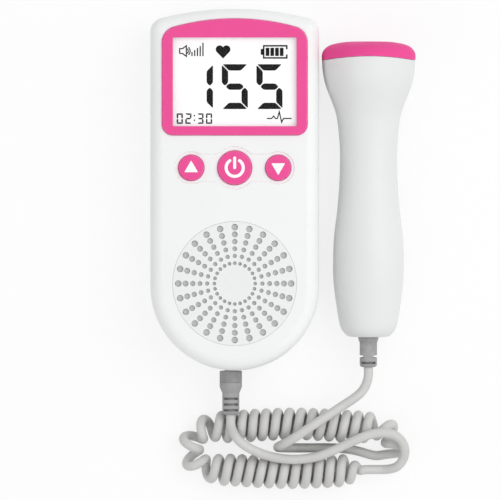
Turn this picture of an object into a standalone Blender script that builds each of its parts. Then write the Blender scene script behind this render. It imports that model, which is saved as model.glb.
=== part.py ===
"""A hand-held fetal doppler monitor with its ultrasound probe and curly cord.

The monitor lies on its back, display up, with +Y towards its top edge. The origin is the middle of
its rear face. The probe lies beside it, and the curly cord lies in a flat ring below the two.
"""

import math

import bmesh
import bpy
import numpy as np
from mathutils import Matrix, Vector

MM = 0.001

# Clearances that every piece shares
GAP = 0.3 * MM
SEAM = 0.3 * MM
OVERRUN = 1.5 * MM
BITE = 0.2 * MM
WELD = 0.001 * MM

# Monitor housing
UNIT_WIDTH = 63 * MM
UNIT_LENGTH = 135 * MM
UNIT_THICKNESS = 28 * MM
TOP_ARC_RADIUS = 112 * MM
TOP_CORNER_RADIUS = 5.5 * MM
FRONT_FILLET = 5 * MM
REAR_FILLET = 4 * MM
WALL = 2.2 * MM
LEAST_CORNER = 0.5 * MM
SPLIT_HEIGHT = 14.5 * MM
LIP_HEIGHT = 1.5 * MM
LIP_SHARE = 0.45
EDGE_MID_SHARE = 0.3

# Display
BEZEL_WIDTH = 54.2 * MM
BEZEL_HEIGHT_SHARE = 43.5 / 135
BEZEL_CREST_INSET = 3.8 * MM
BEZEL_ARC_RADIUS = 85 * MM
BEZEL_TOP_CORNER = 6 * MM
BEZEL_LOW_CORNER = 4.1 * MM
BEZEL_PROUD = 0.8 * MM
BEZEL_LIP = 0.6 * MM
BEZEL_EDGE = 0.5 * MM
SCREEN_WIDTH = 46 * MM
SCREEN_BELOW_CREST = 7.1 * MM
SCREEN_ABOVE_BEZEL_FOOT = 3.4 * MM
SCREEN_CORNER = 0.8 * MM
PANE_LAP = 1.2 * MM
PANE_THICKNESS = 0.7 * MM
LCD_RIM = 1.1 * MM
LCD_THICKNESS = 2.4 * MM
BACKLIGHT_RIM = 1.5 * MM

# Buttons and their switches
BUTTON_ROW_BELOW_BEZEL = 12.1 * MM
BUTTON_SPACING = 16.2 * MM
POWER_RADIUS = 6.4 * MM
ARROW_RADIUS = 4.85 * MM
BUTTON_PROUD = 0.9 * MM
BUTTON_EDGE = 0.5 * MM
BUTTON_FLANGE = 0.9 * MM
BUTTON_FLANGE_THICKNESS = 1 * MM
BUTTON_TRAVEL = 0.8 * MM
STEM_RADIUS = 1.5 * MM
STEM_LENGTH = 0.6 * MM
PAD_DEPTH = 0.35 * MM
PAD_MARGIN_ARROW = 1.35 * MM
PAD_MARGIN_POWER = 1.65 * MM
PAD_NECK = 5.2 * MM
SWITCH_WIDTH = 6 * MM
SWITCH_HEIGHT = 2.3 * MM
PLUNGER_RADIUS = 1.6 * MM
PLUNGER_HEIGHT = 1.5 * MM

# Speaker behind its grille
GRILLE_FROM_END_SHARE = 32.5 / 135
GRILLE_RADIUS_SHARE = 23.1 / 135
GRILLE_THICKNESS = 1.4 * MM
GRILLE_LEDGE = 1 * MM
GRILLE_INNER_RING_SHARE = 7.6 / 23.1
GRILLE_RING_STEP_SHARE = 2.68 / 23.1
GRILLE_INNER_HOLE_SHARE = 1.35 / 23.1
GRILLE_HOLE_STEP_SHARE = 0.216 / 23.1
GRILLE_RINGS = 6
GRILLE_SPOKES = 24
CLOTH_THICKNESS = 0.5 * MM
SPEAKER_RING_WALL = 1.2 * MM
SPEAKER_RING_DEPTH = 5 * MM
SPEAKER_FLANGE = 2.6 * MM
SPEAKER_SHEET = 0.9 * MM
SPEAKER_DEPTH = 4.6 * MM
SPEAKER_TAPER = 1.5 * MM
MAGNET_RADIUS = 9.5 * MM
MAGNET_HEIGHT = 1.5 * MM
CONE_THICKNESS = 0.5 * MM
CONE_EYE_RADIUS = 5 * MM
CONE_DEPTH = 2.4 * MM

# Circuit board
BOARD_THICKNESS = 1.6 * MM
BOARD_WIDTH = 44.4 * MM
BOARD_FOOT_BELOW_BUTTONS_SHARE = 16 / 135
BOARD_CLEARANCE = 0.6 * MM
BOARD_TOP_DROP = 4.5 * MM
BOARD_OVER_BAY = 0.5 * MM
POST_RADIUS = 2 * MM
POST_TOP_X = 8 * MM
POST_TOP_DROP = 6 * MM
POST_LOW_X = 20 * MM
POST_LOW_RISE = 4 * MM
BOARD_SCREW_RADIUS = 0.9 * MM
BOARD_SCREW_LENGTH = 5.5 * MM
BOARD_SCREW_HEAD_RADIUS = 1.8 * MM
BOARD_SCREW_HEAD = 1.1 * MM

# Batteries and their bay
BATTERY_RADIUS = 7.1 * MM
BATTERY_LENGTH = 50.5 * MM
BATTERY_NUB_RADIUS = 2.75 * MM
BATTERY_NUB_LENGTH = 1.3 * MM
BATTERY_EDGE = 0.6 * MM
BATTERY_PAIR_GAP = 0.6 * MM
BAY_SIDE_ROOM = 1.1 * MM
BAY_WALL = 1.3 * MM
BAY_CORNER = 2.5 * MM
BAY_FOOT_RISE = 8.8 * MM
BAY_UNDER_ROOM = 0.4 * MM
CONTACT_THICKNESS = 0.5 * MM
CONTACT_WIDTH = 11 * MM
CONTACT_WIRE_RADIUS = 0.3 * MM
SPRING_HEIGHT = 2.6 * MM
SPRING_BASE_RADIUS = 4.2 * MM
SPRING_TIP_RADIUS = 1.8 * MM
SPRING_TURNS = 2.5
DOOR_SKIRT = 6 * MM
DOOR_TRAVEL = 8 * MM
HOOK_LENGTH = 5 * MM
HOOK_REACH = 1.2 * MM
HOOK_WEB = 1.8 * MM
HOOK_THICKNESS = 0.8 * MM
HOOK_PLACE_SHARES = (0.2, 0.75)
GRIP_GROOVES = 5
GRIP_PITCH = 1.8 * MM
GRIP_WIDTH = 0.8 * MM
GRIP_DEPTH = 0.4 * MM
GRIP_LENGTH = 13 * MM
GRIP_BELOW_TOP = 5 * MM

# Housing screws
CASE_SCREW_TOP_X = 20 * MM
CASE_SCREW_TOP_DROP = 5.1 * MM
CASE_SCREW_LOW_X = 24.5 * MM
CASE_SCREW_LOW_DROP = 4.1 * MM
SCREW_RADIUS = 1.1 * MM
SCREW_HEAD_RADIUS = 2.3 * MM
SCREW_HEAD = 1.5 * MM
SCREW_CROWN_SHARE = 0.8
SCREW_SHELF = 5 * MM
REAR_BOSS_TOP = 12 * MM
SCREW_BITE = 6.5 * MM
BOSS_WALL = 1.1 * MM

# Plug, and its socket inside the monitor
PLUG_X = -1.5 * MM
PIN_RADIUS = 1.75 * MM
PIN_TIP_SHARE = 0.6
PLUG_RADIUS = 4.2 * MM
PLUG_HEAD = 6 * MM
PLUG_TAPER = 2.4 * MM
SLEEVE_RADIUS = 3.15 * MM
SLEEVE_LENGTH = 8.2 * MM
SLEEVE_END_RADIUS = 2.2 * MM
RIB_GROOVE = 0.6 * MM
RIB_GROOVE_DEPTH = 0.4 * MM
RIB_PITCH = 2.15 * MM
RIB_START = 1.7 * MM
RIBS = 3
SOCKET_WIDTH = 10 * MM
SOCKET_HEIGHT = 9 * MM
SOCKET_BACK = 0.8 * MM

# Probe, measured along its axis from the tail
PROBE_APART = 1.1 * MM
PROBE_TAIL_Y = -54.8 * MM
PROBE_LENGTH = 110.4 * MM
PROBE_HEAD_RADIUS = 17.5 * MM
PROBE_WALL = 2 * MM
PROBE_OUTLINE_SHARES = (
    (0.0, 0.345), (0.006, 0.43), (0.02, 0.528), (0.043, 0.606), (0.084, 0.664), (0.15, 0.725),
    (0.206, 0.755), (0.28, 0.755), (0.34, 0.737), (0.408, 0.685), (0.48, 0.642), (0.55, 0.617),
    (0.64, 0.615), (0.7, 0.646), (0.75, 0.69), (0.8, 0.795), (0.85, 0.915), (0.896, 0.979),
    (0.936, 1.0), (0.957, 1.0), (0.971, 0.962), (0.984, 0.874), (0.994, 0.69), (1.0, 0.35),
)
PROBE_INSIDE_EVERY = 3
CAP_LENGTH = 5.9 * MM
CAP_SEAM_RADIUS = 54 * MM
CRYSTAL_RADIUS = 10.5 * MM
CRYSTAL_THICKNESS = 0.8 * MM
CRYSTAL_APART = 1 * MM
BACKING_RADIUS = 12 * MM
BACKING_THICKNESS = 4 * MM
PROBE_BOARD_WIDTH = 14 * MM
PROBE_BOARD_LENGTH = 58 * MM
PROBE_BOARD_START = 22 * MM
PROBE_RIB = 1.6 * MM
PROBE_RIB_PLACE_SHARES = (0.14, 0.86)

# Gland at the probe's tail
GLAND_FLARE_RADIUS = 3.85 * MM
GLAND_RADIUS = 3.25 * MM
GLAND_NECK_RADIUS = 2.6 * MM
GLAND_FLANGE_RADIUS = 4.1 * MM
GLAND_FLANGE = 1.6 * MM
GLAND_FLARE = 2.2 * MM
GLAND_LENGTH = 11.6 * MM
GLAND_GROOVES = (7.4 * MM, 9.6 * MM)
GLAND_END_RADIUS = 2.2 * MM

# Cord
CORD_DIAMETER = 3.5 * MM
CURL_RADIUS = 4.5 * MM
TURN_CURL_RADIUS = 3.35 * MM
CURL_PITCH = 4.17 * MM
CURL_POINTS = 8
COIL_FOOT = 1.8 * MM
COIL_MIDDLE_Y = -97.1 * MM
COIL_LEFT_X = -8.6 * MM
COIL_RIGHT_X = 52.4 * MM
COIL_TURN_RADIUS = 8 * MM
COIL_BOW = 1.2 * MM
COIL_RAMP = 8 * MM
COIL_LOOSER_SHARE = 0.3
COIL_TURN_ROOM_SHARE = 0.04
COIL_END_TURN = -0.45
COIL_BEND_LEAD = 1.5
COIL_STEP = 0.25 * MM
COIL_SMOOTHING = 45
LEAD_STEP = 7 * MM
UNIT_LEAD_POINTS = (
    (0.6, -92.8, 14.5), (5.0, -96.5, 14.0), (10.4, -99.0, 13.3), (16.6, -100.6, 13.0),
    (24.0, -101.0, 13.0), (32.0, -99.6, 13.2), (40.0, -96.2, 13.8), (46.4, -93.2, 14.4),
    (51.4, -91.5, 14.6), (56.2, -91.0, 14.5), (60.1, -92.0, 14.1), (62.8, -94.6, 13.4),
    (63.8, -98.1, 12.2), (62.8, -101.7, 10.5), (60.3, -104.2, 8.6),
)
PROBE_LEAD_POINTS = (
    (47.5, -98.6, 1.8), (42.0, -97.5, 1.8), (36.0, -97.1, 1.8), (29.0, -97.1, 1.8),
    (23.6, -97.1, 1.9), (18.9, -97.0, 3.8), (16.3, -96.7, 8.2), (17.0, -95.9, 13.2),
    (20.6, -93.8, 16.9), (25.8, -90.4, 17.8), (30.8, -87.1, 16.6), (36.0, -83.8, 14.9),
    (40.6, -80.8, 13.4), (44.9, -78.0, 12.2), (48.4, -74.6, 11.0),
)

# Places worked out from the sizes above
REAR_Z = 0
FRONT_Z = UNIT_THICKNESS
FACE_Z = FRONT_Z - WALL
BEZEL_CREST_Y = UNIT_LENGTH / 2 - BEZEL_CREST_INSET
BEZEL_HEIGHT = UNIT_LENGTH * BEZEL_HEIGHT_SHARE
BEZEL_FOOT_Y = BEZEL_CREST_Y - BEZEL_HEIGHT
BEZEL_TOP_Z = FRONT_Z + BEZEL_PROUD
PANE_TOP_Z = BEZEL_TOP_Z - BEZEL_LIP - GAP
PANE_Z = PANE_TOP_Z - PANE_THICKNESS
BEZEL_SEAT_Z = PANE_Z - GAP
SCREEN_HEIGHT = BEZEL_HEIGHT - SCREEN_ABOVE_BEZEL_FOOT - SCREEN_BELOW_CREST
SCREEN_Y = BEZEL_FOOT_Y + SCREEN_ABOVE_BEZEL_FOOT + SCREEN_HEIGHT / 2
LCD_TOP_Z = PANE_Z - GAP
BUTTON_Y = BEZEL_FOOT_Y - BUTTON_ROW_BELOW_BEZEL
BATTERY_Z = WALL + BAY_UNDER_ROOM + BATTERY_RADIUS
BAY_HALF = 2 * BATTERY_RADIUS + BATTERY_PAIR_GAP / 2 + BAY_SIDE_ROOM
BAY_CEILING_Z = BATTERY_Z + BATTERY_RADIUS + GAP
BAY_ROOF_Z = BAY_CEILING_Z + BAY_WALL
BAY_LENGTH = BATTERY_LENGTH + SPRING_HEIGHT + 2 * CONTACT_THICKNESS + 4 * GAP
BAY_FOOT_Y = -UNIT_LENGTH / 2 + BAY_FOOT_RISE
BAY_TOP_Y = BAY_FOOT_Y + BAY_LENGTH
BOARD_Z = BAY_ROOF_Z + BOARD_OVER_BAY
BOARD_TOP_Z = BOARD_Z + BOARD_THICKNESS
SWITCH_Z = BOARD_TOP_Z + GAP
FLANGE_TOP_Z = FACE_Z - GAP
STEM_FOOT_Z = FLANGE_TOP_Z - BUTTON_FLANGE_THICKNESS - STEM_LENGTH
PLUNGER_TOP_Z = STEM_FOOT_Z - GAP
PROBE_X = UNIT_WIDTH / 2 + PROBE_APART + PROBE_HEAD_RADIUS
PLUG_END_Y = -UNIT_LENGTH / 2 - GAP - PLUG_HEAD - PLUG_TAPER - SLEEVE_LENGTH
BOARD_FOOT_Y = BUTTON_Y - UNIT_LENGTH * BOARD_FOOT_BELOW_BUTTONS_SHARE
GRILLE_RADIUS = UNIT_LENGTH * GRILLE_RADIUS_SHARE
GRILLE_Y = UNIT_LENGTH * (GRILLE_FROM_END_SHARE - 0.5)
GRILLE_SEAT_RADIUS = GRILLE_RADIUS + GAP
GRILLE_HOLE_RADIUS = GRILLE_SEAT_RADIUS - GRILLE_LEDGE
GRILLE_Z = FRONT_Z - GRILLE_THICKNESS
SPEAKER_RADIUS = GRILLE_HOLE_RADIUS - GAP
CLOTH_Z = GRILLE_Z - GAP - CLOTH_THICKNESS
SPEAKER_TOP_Z = CLOTH_Z - GAP
SPEAKER_FOOT_Z = SPEAKER_TOP_Z - SPEAKER_DEPTH
BUTTONS = (
    ("up_button", "up_switch", "up_plunger", -BUTTON_SPACING, ARROW_RADIUS),
    ("power_button", "power_switch", "power_plunger", 0, POWER_RADIUS),
    ("down_button", "down_switch", "down_plunger", BUTTON_SPACING, ARROW_RADIUS),
)


def top_edge_y(x, inset=0):
    """The height of the housing's arched top edge at a distance x from its middle line."""
    radius = TOP_ARC_RADIUS - inset
    return UNIT_LENGTH / 2 - TOP_ARC_RADIUS + math.sqrt(radius ** 2 - x ** 2)


CASE_SCREWS = tuple(
    (side * x, y)
    for x, y in (
        (CASE_SCREW_TOP_X, top_edge_y(CASE_SCREW_TOP_X) - CASE_SCREW_TOP_DROP),
        (CASE_SCREW_LOW_X, BOARD_FOOT_Y - CASE_SCREW_LOW_DROP),
    )
    for side in (-1, 1)
)
BOARD_POSTS = tuple(
    (side * x, y)
    for x, y in (
        (POST_TOP_X, top_edge_y(POST_TOP_X) - POST_TOP_DROP),
        (POST_LOW_X, BOARD_FOOT_Y + POST_LOW_RISE),
    )
    for side in (-1, 1)
)


# Outlines


def arc(x, y, radius, start, end, steps):
    return [(x + radius * math.cos(a), y + radius * math.sin(a)) for a in np.linspace(start, end, steps + 1)]


def without_repeats(points):
    kept = []
    for point in points:
        if not kept or math.dist(point, kept[-1]) > WELD:
            kept.append(point)
    return kept if math.dist(kept[0], kept[-1]) > WELD else kept[:-1]


def arched_outline(width, low_y, crest_y, arc_radius, top_corner, low_corner, inset, steps):
    """A closed outline with an arched top, anticlockwise: low corners, straight sides, top corners."""
    half = width / 2 - inset
    low = max(low_corner - inset, LEAST_CORNER)
    top = max(top_corner - inset, LEAST_CORNER)
    radius = arc_radius - inset
    arc_y = crest_y - arc_radius
    corner_y = arc_y + math.sqrt((radius - top) ** 2 - (half - top) ** 2)
    turn = math.atan2(corner_y - arc_y, half - top)
    low_centre = low_y + inset + low
    quarter = math.pi / 2
    return without_repeats(
        arc(-half + low, low_centre, low, 2 * quarter, 3 * quarter, steps)
        + arc(half - low, low_centre, low, -quarter, 0, steps)
        + arc(half - top, corner_y, top, 0, turn, steps // 2 + 1)
        + arc(0, arc_y, radius, turn, 2 * quarter - turn, steps)[1:-1]
        + arc(-half + top, corner_y, top, 2 * quarter - turn, 2 * quarter, steps // 2 + 1)
    )


def unit_outline(inset):
    half = UNIT_WIDTH / 2
    end = UNIT_LENGTH / 2
    return arched_outline(UNIT_WIDTH, -end, end, TOP_ARC_RADIUS, TOP_CORNER_RADIUS, half, inset, 7)


def bezel_outline(inset):
    return arched_outline(
        BEZEL_WIDTH, BEZEL_FOOT_Y, BEZEL_CREST_Y, BEZEL_ARC_RADIUS, BEZEL_TOP_CORNER, BEZEL_LOW_CORNER,
        inset, 6
    )


def rounded_box(x, y, width, height, corner, steps=3):
    right, top = x + width / 2 - corner, y + height / 2 - corner
    left, low = x - width / 2 + corner, y - height / 2 + corner
    centres = ((right, top), (left, top), (left, low), (right, low))
    points = []
    for quarter, (cx, cy) in enumerate(centres):
        start = quarter * math.pi / 2
        points += arc(cx, cy, corner, start, start + math.pi / 2, steps)
    return points


def pad_outline(steps=22):
    """The wavy border round the three buttons: a lobe about each, joined by a straight neck."""
    lobes = [
        (x, radius + (PAD_MARGIN_POWER if x == 0 else PAD_MARGIN_ARROW)) for _, _, _, x, radius in BUTTONS
    ]
    reach = BUTTON_SPACING + ARROW_RADIUS + PAD_MARGIN_ARROW
    upper = []
    for turn in np.linspace(0, math.pi, steps + 1)[1:-1]:
        x = reach * math.cos(turn)
        heights = [math.sqrt(max(radius ** 2 - (x - cx) ** 2, 0)) for cx, radius in lobes]
        neck = PAD_NECK if abs(x) < BUTTON_SPACING else 0
        upper.append((x, max(heights + [neck])))
    outline = [(reach, 0)] + upper + [(-reach, 0)] + [(x, -y) for x, y in reversed(upper)]
    return [(x, BUTTON_Y + y) for x, y in outline]


# Shapes that are added to a mesh


def add_rings(bm, rings, closed=False):
    """Skins the rings in turn, capping both ends or joining the last to the first. A ring of one
    point is a tip."""
    loops = [[bm.verts.new(point) for point in ring] for ring in rings]
    pairs = list(zip(loops, loops[1:])) + ([(loops[-1], loops[0])] if closed else [])
    for low, high in pairs:
        count = max(len(low), len(high))
        for i in range(count):
            j = (i + 1) % count
            corners = [low[i % len(low)], low[j % len(low)], high[j % len(high)], high[i % len(high)]]
            corners = list(dict.fromkeys(corners))
            if len(corners) > 2:
                bm.faces.new(corners)
    if not closed:
        for loop in (loops[0], loops[-1]):
            if len(loop) > 2:
                bm.faces.new(loop)


def add_layers(bm, layers):
    """A solid through outlines at heights, each given as an outline and its z."""
    add_rings(bm, [[(x, y, z) for x, y in outline] for outline, z in layers])


def add_prism(bm, outline, low, high):
    add_layers(bm, [(outline, low), (outline, high)])


def add_box(bm, x, y, z):
    """A box from its spans along the three axes."""
    add_prism(bm, [(x[0], y[0]), (x[1], y[0]), (x[1], y[1]), (x[0], y[1])], z[0], z[1])


def add_turned(bm, profile, segments, place=Matrix.Identity(4), closed=False):
    """A turned solid from its profile of radius and height along +Z, then set in its place."""
    rings = []
    for radius, height in profile:
        if radius == 0:
            rings.append([place @ Vector((0, 0, height))])
            continue
        turns = [2 * math.pi * i / segments for i in range(segments)]
        rings.append([place @ Vector((radius * math.cos(t), radius * math.sin(t), height)) for t in turns])
    add_rings(bm, rings, closed)


def add_rod(bm, x, y, radius, low, high, segments=12):
    profile = [(0, low), (radius, low), (radius, high), (0, high)]
    add_turned(bm, profile, segments, Matrix.Translation((x, y, 0)))


# Objects


def new_material(name, colour, roughness, metallic=0.0, alpha=1.0):
    material = bpy.data.materials.new(name)
    material.use_nodes = True
    shader = material.node_tree.nodes["Principled BSDF"]
    shader.inputs["Base Color"].default_value = (*colour, 1.0)
    shader.inputs["Roughness"].default_value = roughness
    shader.inputs["Metallic"].default_value = metallic
    shader.inputs["Alpha"].default_value = alpha
    material.diffuse_color = (*colour, alpha)
    return material


def new_object(name, bm, material=None, origin=(0, 0, 0), parent=None):
    """An object from a mesh drawn in world places, with its origin moved to where it belongs."""
    bmesh.ops.recalc_face_normals(bm, faces=bm.faces)
    bmesh.ops.translate(bm, verts=bm.verts, vec=-Vector(origin))
    mesh = bpy.data.meshes.new(name)
    bm.to_mesh(mesh)
    bm.free()
    mesh.shade_smooth()
    mesh.set_sharp_from_angle(angle=math.radians(35))
    made = bpy.data.objects.new(name, mesh)
    made.location = origin
    made.parent = parent
    bpy.context.scene.collection.objects.link(made)
    if material:
        mesh.materials.append(material)
    return made


def new_tool(name, bm, parent=None):
    """A helper that cuts or joins another object and is left out of the model."""
    made = new_object(name, bm, parent=parent)
    made.hide_render = True
    made.display_type = "WIRE"
    return made


def combine(body, tool, operation):
    modifier = body.modifiers.new(tool.name, "BOOLEAN")
    modifier.operation = operation
    modifier.solver = "EXACT"
    modifier.object = tool


def along_y(place_y, place_z, x=0, towards=-1):
    """A frame whose +Z runs along Y, for pieces turned about the cord's line."""
    turn = Matrix.Rotation(math.pi / 2 * -towards, 4, "X")
    return Matrix.Translation((x, place_y, place_z)) @ turn


# The monitor's housing


def fillet_layers(inset, radius, edge_z, towards, steps):
    """Outlines round the edge fillet, from the side wall to the flat face at edge_z."""
    layers = []
    for turn in np.linspace(0, math.pi / 2, steps + 1):
        step_in = radius * (1 - math.cos(turn))
        z = edge_z - towards * radius * (1 - math.sin(turn))
        layers.append((unit_outline(inset + step_in), z))
    return layers


def shell_layers(face_z, towards, radius, rim_z, lip_inset, lip_z):
    """One closed shell: the outer face, the rim with its step, and the inner face."""
    outer = fillet_layers(0, radius, face_z, towards, 4)
    inner = fillet_layers(WALL, radius - WALL, face_z - towards * WALL, towards, 2)
    rim = [
        (unit_outline(0), rim_z),
        (unit_outline(lip_inset), rim_z),
        (unit_outline(lip_inset), lip_z),
        (unit_outline(WALL), lip_z),
    ]
    return outer[::-1] + rim + inner


def make_front_casing(white):
    rim_z = SPLIT_HEIGHT + SEAM / 2
    step_inset = WALL * LIP_SHARE - GAP
    bm = bmesh.new()
    add_layers(bm, shell_layers(FRONT_Z, 1, FRONT_FILLET, rim_z, step_inset, rim_z + LIP_HEIGHT))
    casing = new_object("front_casing", bm, white)

    added = bmesh.new()
    under_face = FACE_Z + BITE
    for x, y in CASE_SCREWS:
        add_rod(added, x, y, SCREW_RADIUS + GAP + BOSS_WALL, REAR_BOSS_TOP + GAP, under_face, 10)
    for x, y in BOARD_POSTS:
        add_rod(added, x, y, POST_RADIUS, BOARD_TOP_Z + GAP, under_face, 10)
    ring = [
        (GRILLE_HOLE_RADIUS + SPEAKER_RING_WALL, under_face),
        (GRILLE_HOLE_RADIUS + SPEAKER_RING_WALL, FACE_Z - SPEAKER_RING_DEPTH),
        (GRILLE_HOLE_RADIUS, FACE_Z - SPEAKER_RING_DEPTH),
        (GRILLE_HOLE_RADIUS, under_face),
    ]
    add_turned(added, ring, 28, Matrix.Translation((0, GRILLE_Y, 0)), closed=True)
    combine(casing, new_tool("front_casing_inside", added), "UNION")

    seats = bmesh.new()
    top = FRONT_Z + OVERRUN
    add_prism(seats, bezel_outline(-GAP), BEZEL_SEAT_Z, top)
    add_prism(seats, pad_outline(), FRONT_Z - PAD_DEPTH, top)
    below = FACE_Z - SPEAKER_RING_DEPTH - OVERRUN
    seat = [
        (0, below), (GRILLE_HOLE_RADIUS, below), (GRILLE_HOLE_RADIUS, GRILLE_Z - GAP),
        (GRILLE_SEAT_RADIUS, GRILLE_Z - GAP), (GRILLE_SEAT_RADIUS, top), (0, top),
    ]
    add_turned(seats, seat, 32, Matrix.Translation((0, GRILLE_Y, 0)))
    for x, y in CASE_SCREWS:
        tip_z = REAR_BOSS_TOP + SCREW_BITE + GAP
        add_rod(seats, x, y, SCREW_RADIUS + GAP, REAR_BOSS_TOP - OVERRUN, tip_z, 8)
    for x, y in BOARD_POSTS:
        tip_z = BOARD_Z + BOARD_SCREW_LENGTH
        add_rod(seats, x, y, BOARD_SCREW_RADIUS + GAP, BOARD_TOP_Z - OVERRUN, tip_z, 8)
    combine(casing, new_tool("front_casing_seats", seats), "DIFFERENCE")

    holes = bmesh.new()
    aperture = rounded_box(0, SCREEN_Y, lcd_width() + 2 * GAP, lcd_height() + 2 * GAP, SCREEN_CORNER)
    add_prism(holes, aperture, FACE_Z - OVERRUN, top)
    for _, _, _, x, radius in BUTTONS:
        add_rod(holes, x, BUTTON_Y, radius + GAP, FACE_Z - OVERRUN, top, 22)
    add_plug_hole(holes)
    combine(casing, new_tool("front_casing_holes", holes), "DIFFERENCE")
    return casing


def add_plug_hole(bm):
    radius = PIN_RADIUS + 2 * GAP
    end = UNIT_LENGTH / 2
    place = along_y(-end + WALL + LIP_HEIGHT, SPLIT_HEIGHT, PLUG_X)
    reach = WALL + LIP_HEIGHT + OVERRUN
    add_turned(bm, [(0, 0), (radius, 0), (radius, reach), (0, reach)], 12, place)


def rear_shell():
    """The rear half of the housing before it is cut into the casing and its battery door."""
    bm = bmesh.new()
    rim_z = SPLIT_HEIGHT - SEAM / 2
    layers = shell_layers(REAR_Z, -1, REAR_FILLET, rim_z, WALL * LIP_SHARE, rim_z + LIP_HEIGHT)
    add_layers(bm, layers)
    return bm


def hook_places():
    return [BAY_TOP_Y - share * BAY_LENGTH for share in HOOK_PLACE_SHARES]


def make_rear_casing(white):
    casing = new_object("rear_casing", rear_shell(), white)
    added = bmesh.new()
    width = 2 * (BAY_HALF + BAY_WALL)
    length = BAY_LENGTH + 2 * BAY_WALL
    tub = rounded_box(0, BAY_TOP_Y - BAY_LENGTH / 2, width, length, BAY_CORNER, 2)
    add_prism(added, tub, WALL - BITE, BAY_ROOF_Z)
    boss_radius = SCREW_HEAD_RADIUS + GAP + BOSS_WALL
    for x, y in CASE_SCREWS:
        add_rod(added, x, y, boss_radius, WALL - BITE, REAR_BOSS_TOP)
    combine(casing, new_tool("rear_casing_inside", added), "UNION")

    bay = bmesh.new()
    add_box(bay, (-BAY_HALF, BAY_HALF), (BAY_FOOT_Y, BAY_TOP_Y), (-OVERRUN, BAY_CEILING_Z))
    add_plug_hole(bay)
    for x, y in CASE_SCREWS:
        head = SCREW_HEAD_RADIUS + GAP
        shank = SCREW_RADIUS + GAP
        top = REAR_BOSS_TOP + OVERRUN
        profile = [(0, -OVERRUN), (head, -OVERRUN), (head, SCREW_SHELF)]
        profile += [(shank, SCREW_SHELF), (shank, top), (0, top)]
        add_turned(bay, profile, 12, Matrix.Translation((x, y, 0)))
    combine(casing, new_tool("rear_casing_bay", bay), "DIFFERENCE")

    opening = bmesh.new()
    end = -UNIT_LENGTH / 2 - OVERRUN
    add_box(opening, (-BAY_HALF, BAY_HALF), (end, BAY_TOP_Y + GAP), (-OVERRUN, DOOR_SKIRT + GAP))
    combine(casing, new_tool("rear_casing_opening", opening), "DIFFERENCE")

    windows = bmesh.new()
    for y in hook_places():
        span = (y - HOOK_LENGTH / 2 - DOOR_TRAVEL - GAP, y + HOOK_LENGTH / 2 + GAP)
        reach = BAY_HALF + HOOK_REACH + GAP
        add_box(windows, (-reach, reach), span, (WALL, WALL + HOOK_THICKNESS + 2 * GAP))
    combine(casing, new_tool("rear_casing_windows", windows), "DIFFERENCE")
    return casing


def make_battery_door(white):
    door = new_object("battery_door", rear_shell(), white)
    half = BAY_HALF - GAP
    blank = bmesh.new()
    add_box(blank, (-half, half), (-UNIT_LENGTH / 2 - OVERRUN, BAY_TOP_Y), (-OVERRUN, DOOR_SKIRT))
    combine(door, new_tool("battery_door_blank", blank), "INTERSECT")

    hooks = bmesh.new()
    for y in hook_places():
        span = (y - HOOK_LENGTH / 2, y + HOOK_LENGTH / 2)
        low = WALL + GAP
        high = low + HOOK_THICKNESS
        for side in (-1, 1):
            root, edge, tip = side * (half - HOOK_WEB), side * half, side * (BAY_HALF + HOOK_REACH)
            outline = [(root, WALL - BITE), (edge, WALL - BITE), (edge, low)]
            outline += [(tip, low), (tip, high), (root, high)]
            add_rings(hooks, [[(px, py, pz) for px, pz in outline] for py in span])
    combine(door, new_tool("battery_door_hooks", hooks), "UNION")

    grip = bmesh.new()
    for groove in range(GRIP_GROOVES):
        y = BAY_TOP_Y - GRIP_BELOW_TOP - groove * GRIP_PITCH
        span = (y - GRIP_WIDTH / 2, y + GRIP_WIDTH / 2)
        add_box(grip, (-GRIP_LENGTH / 2, GRIP_LENGTH / 2), span, (-OVERRUN, GRIP_DEPTH))
    combine(door, new_tool("battery_door_grip", grip), "DIFFERENCE")
    return door


def make_case_screws(steel):
    """Four screws that hold the two halves of the housing, driven from the rear."""
    head_z = SCREW_SHELF - GAP
    for number, (x, y) in enumerate(CASE_SCREWS, 1):
        bm = bmesh.new()
        tip_z = REAR_BOSS_TOP + SCREW_BITE
        profile = [
            (0, head_z - SCREW_HEAD), (SCREW_HEAD_RADIUS * SCREW_CROWN_SHARE, head_z - SCREW_HEAD),
            (SCREW_HEAD_RADIUS, head_z - SCREW_HEAD / 2), (SCREW_HEAD_RADIUS, head_z), (SCREW_RADIUS, head_z),
            (SCREW_RADIUS, tip_z - SCREW_RADIUS), (0, tip_z),
        ]
        add_turned(bm, profile, 10, Matrix.Translation((x, y, 0)))
        new_object(f"case_screw_{number}", bm, steel, (x, y, head_z))


# The display


def lcd_width():
    return SCREEN_WIDTH + 2 * LCD_RIM


def lcd_height():
    return SCREEN_HEIGHT + 2 * LCD_RIM


def pane_outline(grow):
    lap = 2 * PANE_LAP + 2 * grow
    return rounded_box(0, SCREEN_Y, SCREEN_WIDTH + lap, SCREEN_HEIGHT + lap, SCREEN_CORNER + PANE_LAP + grow)


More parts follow.
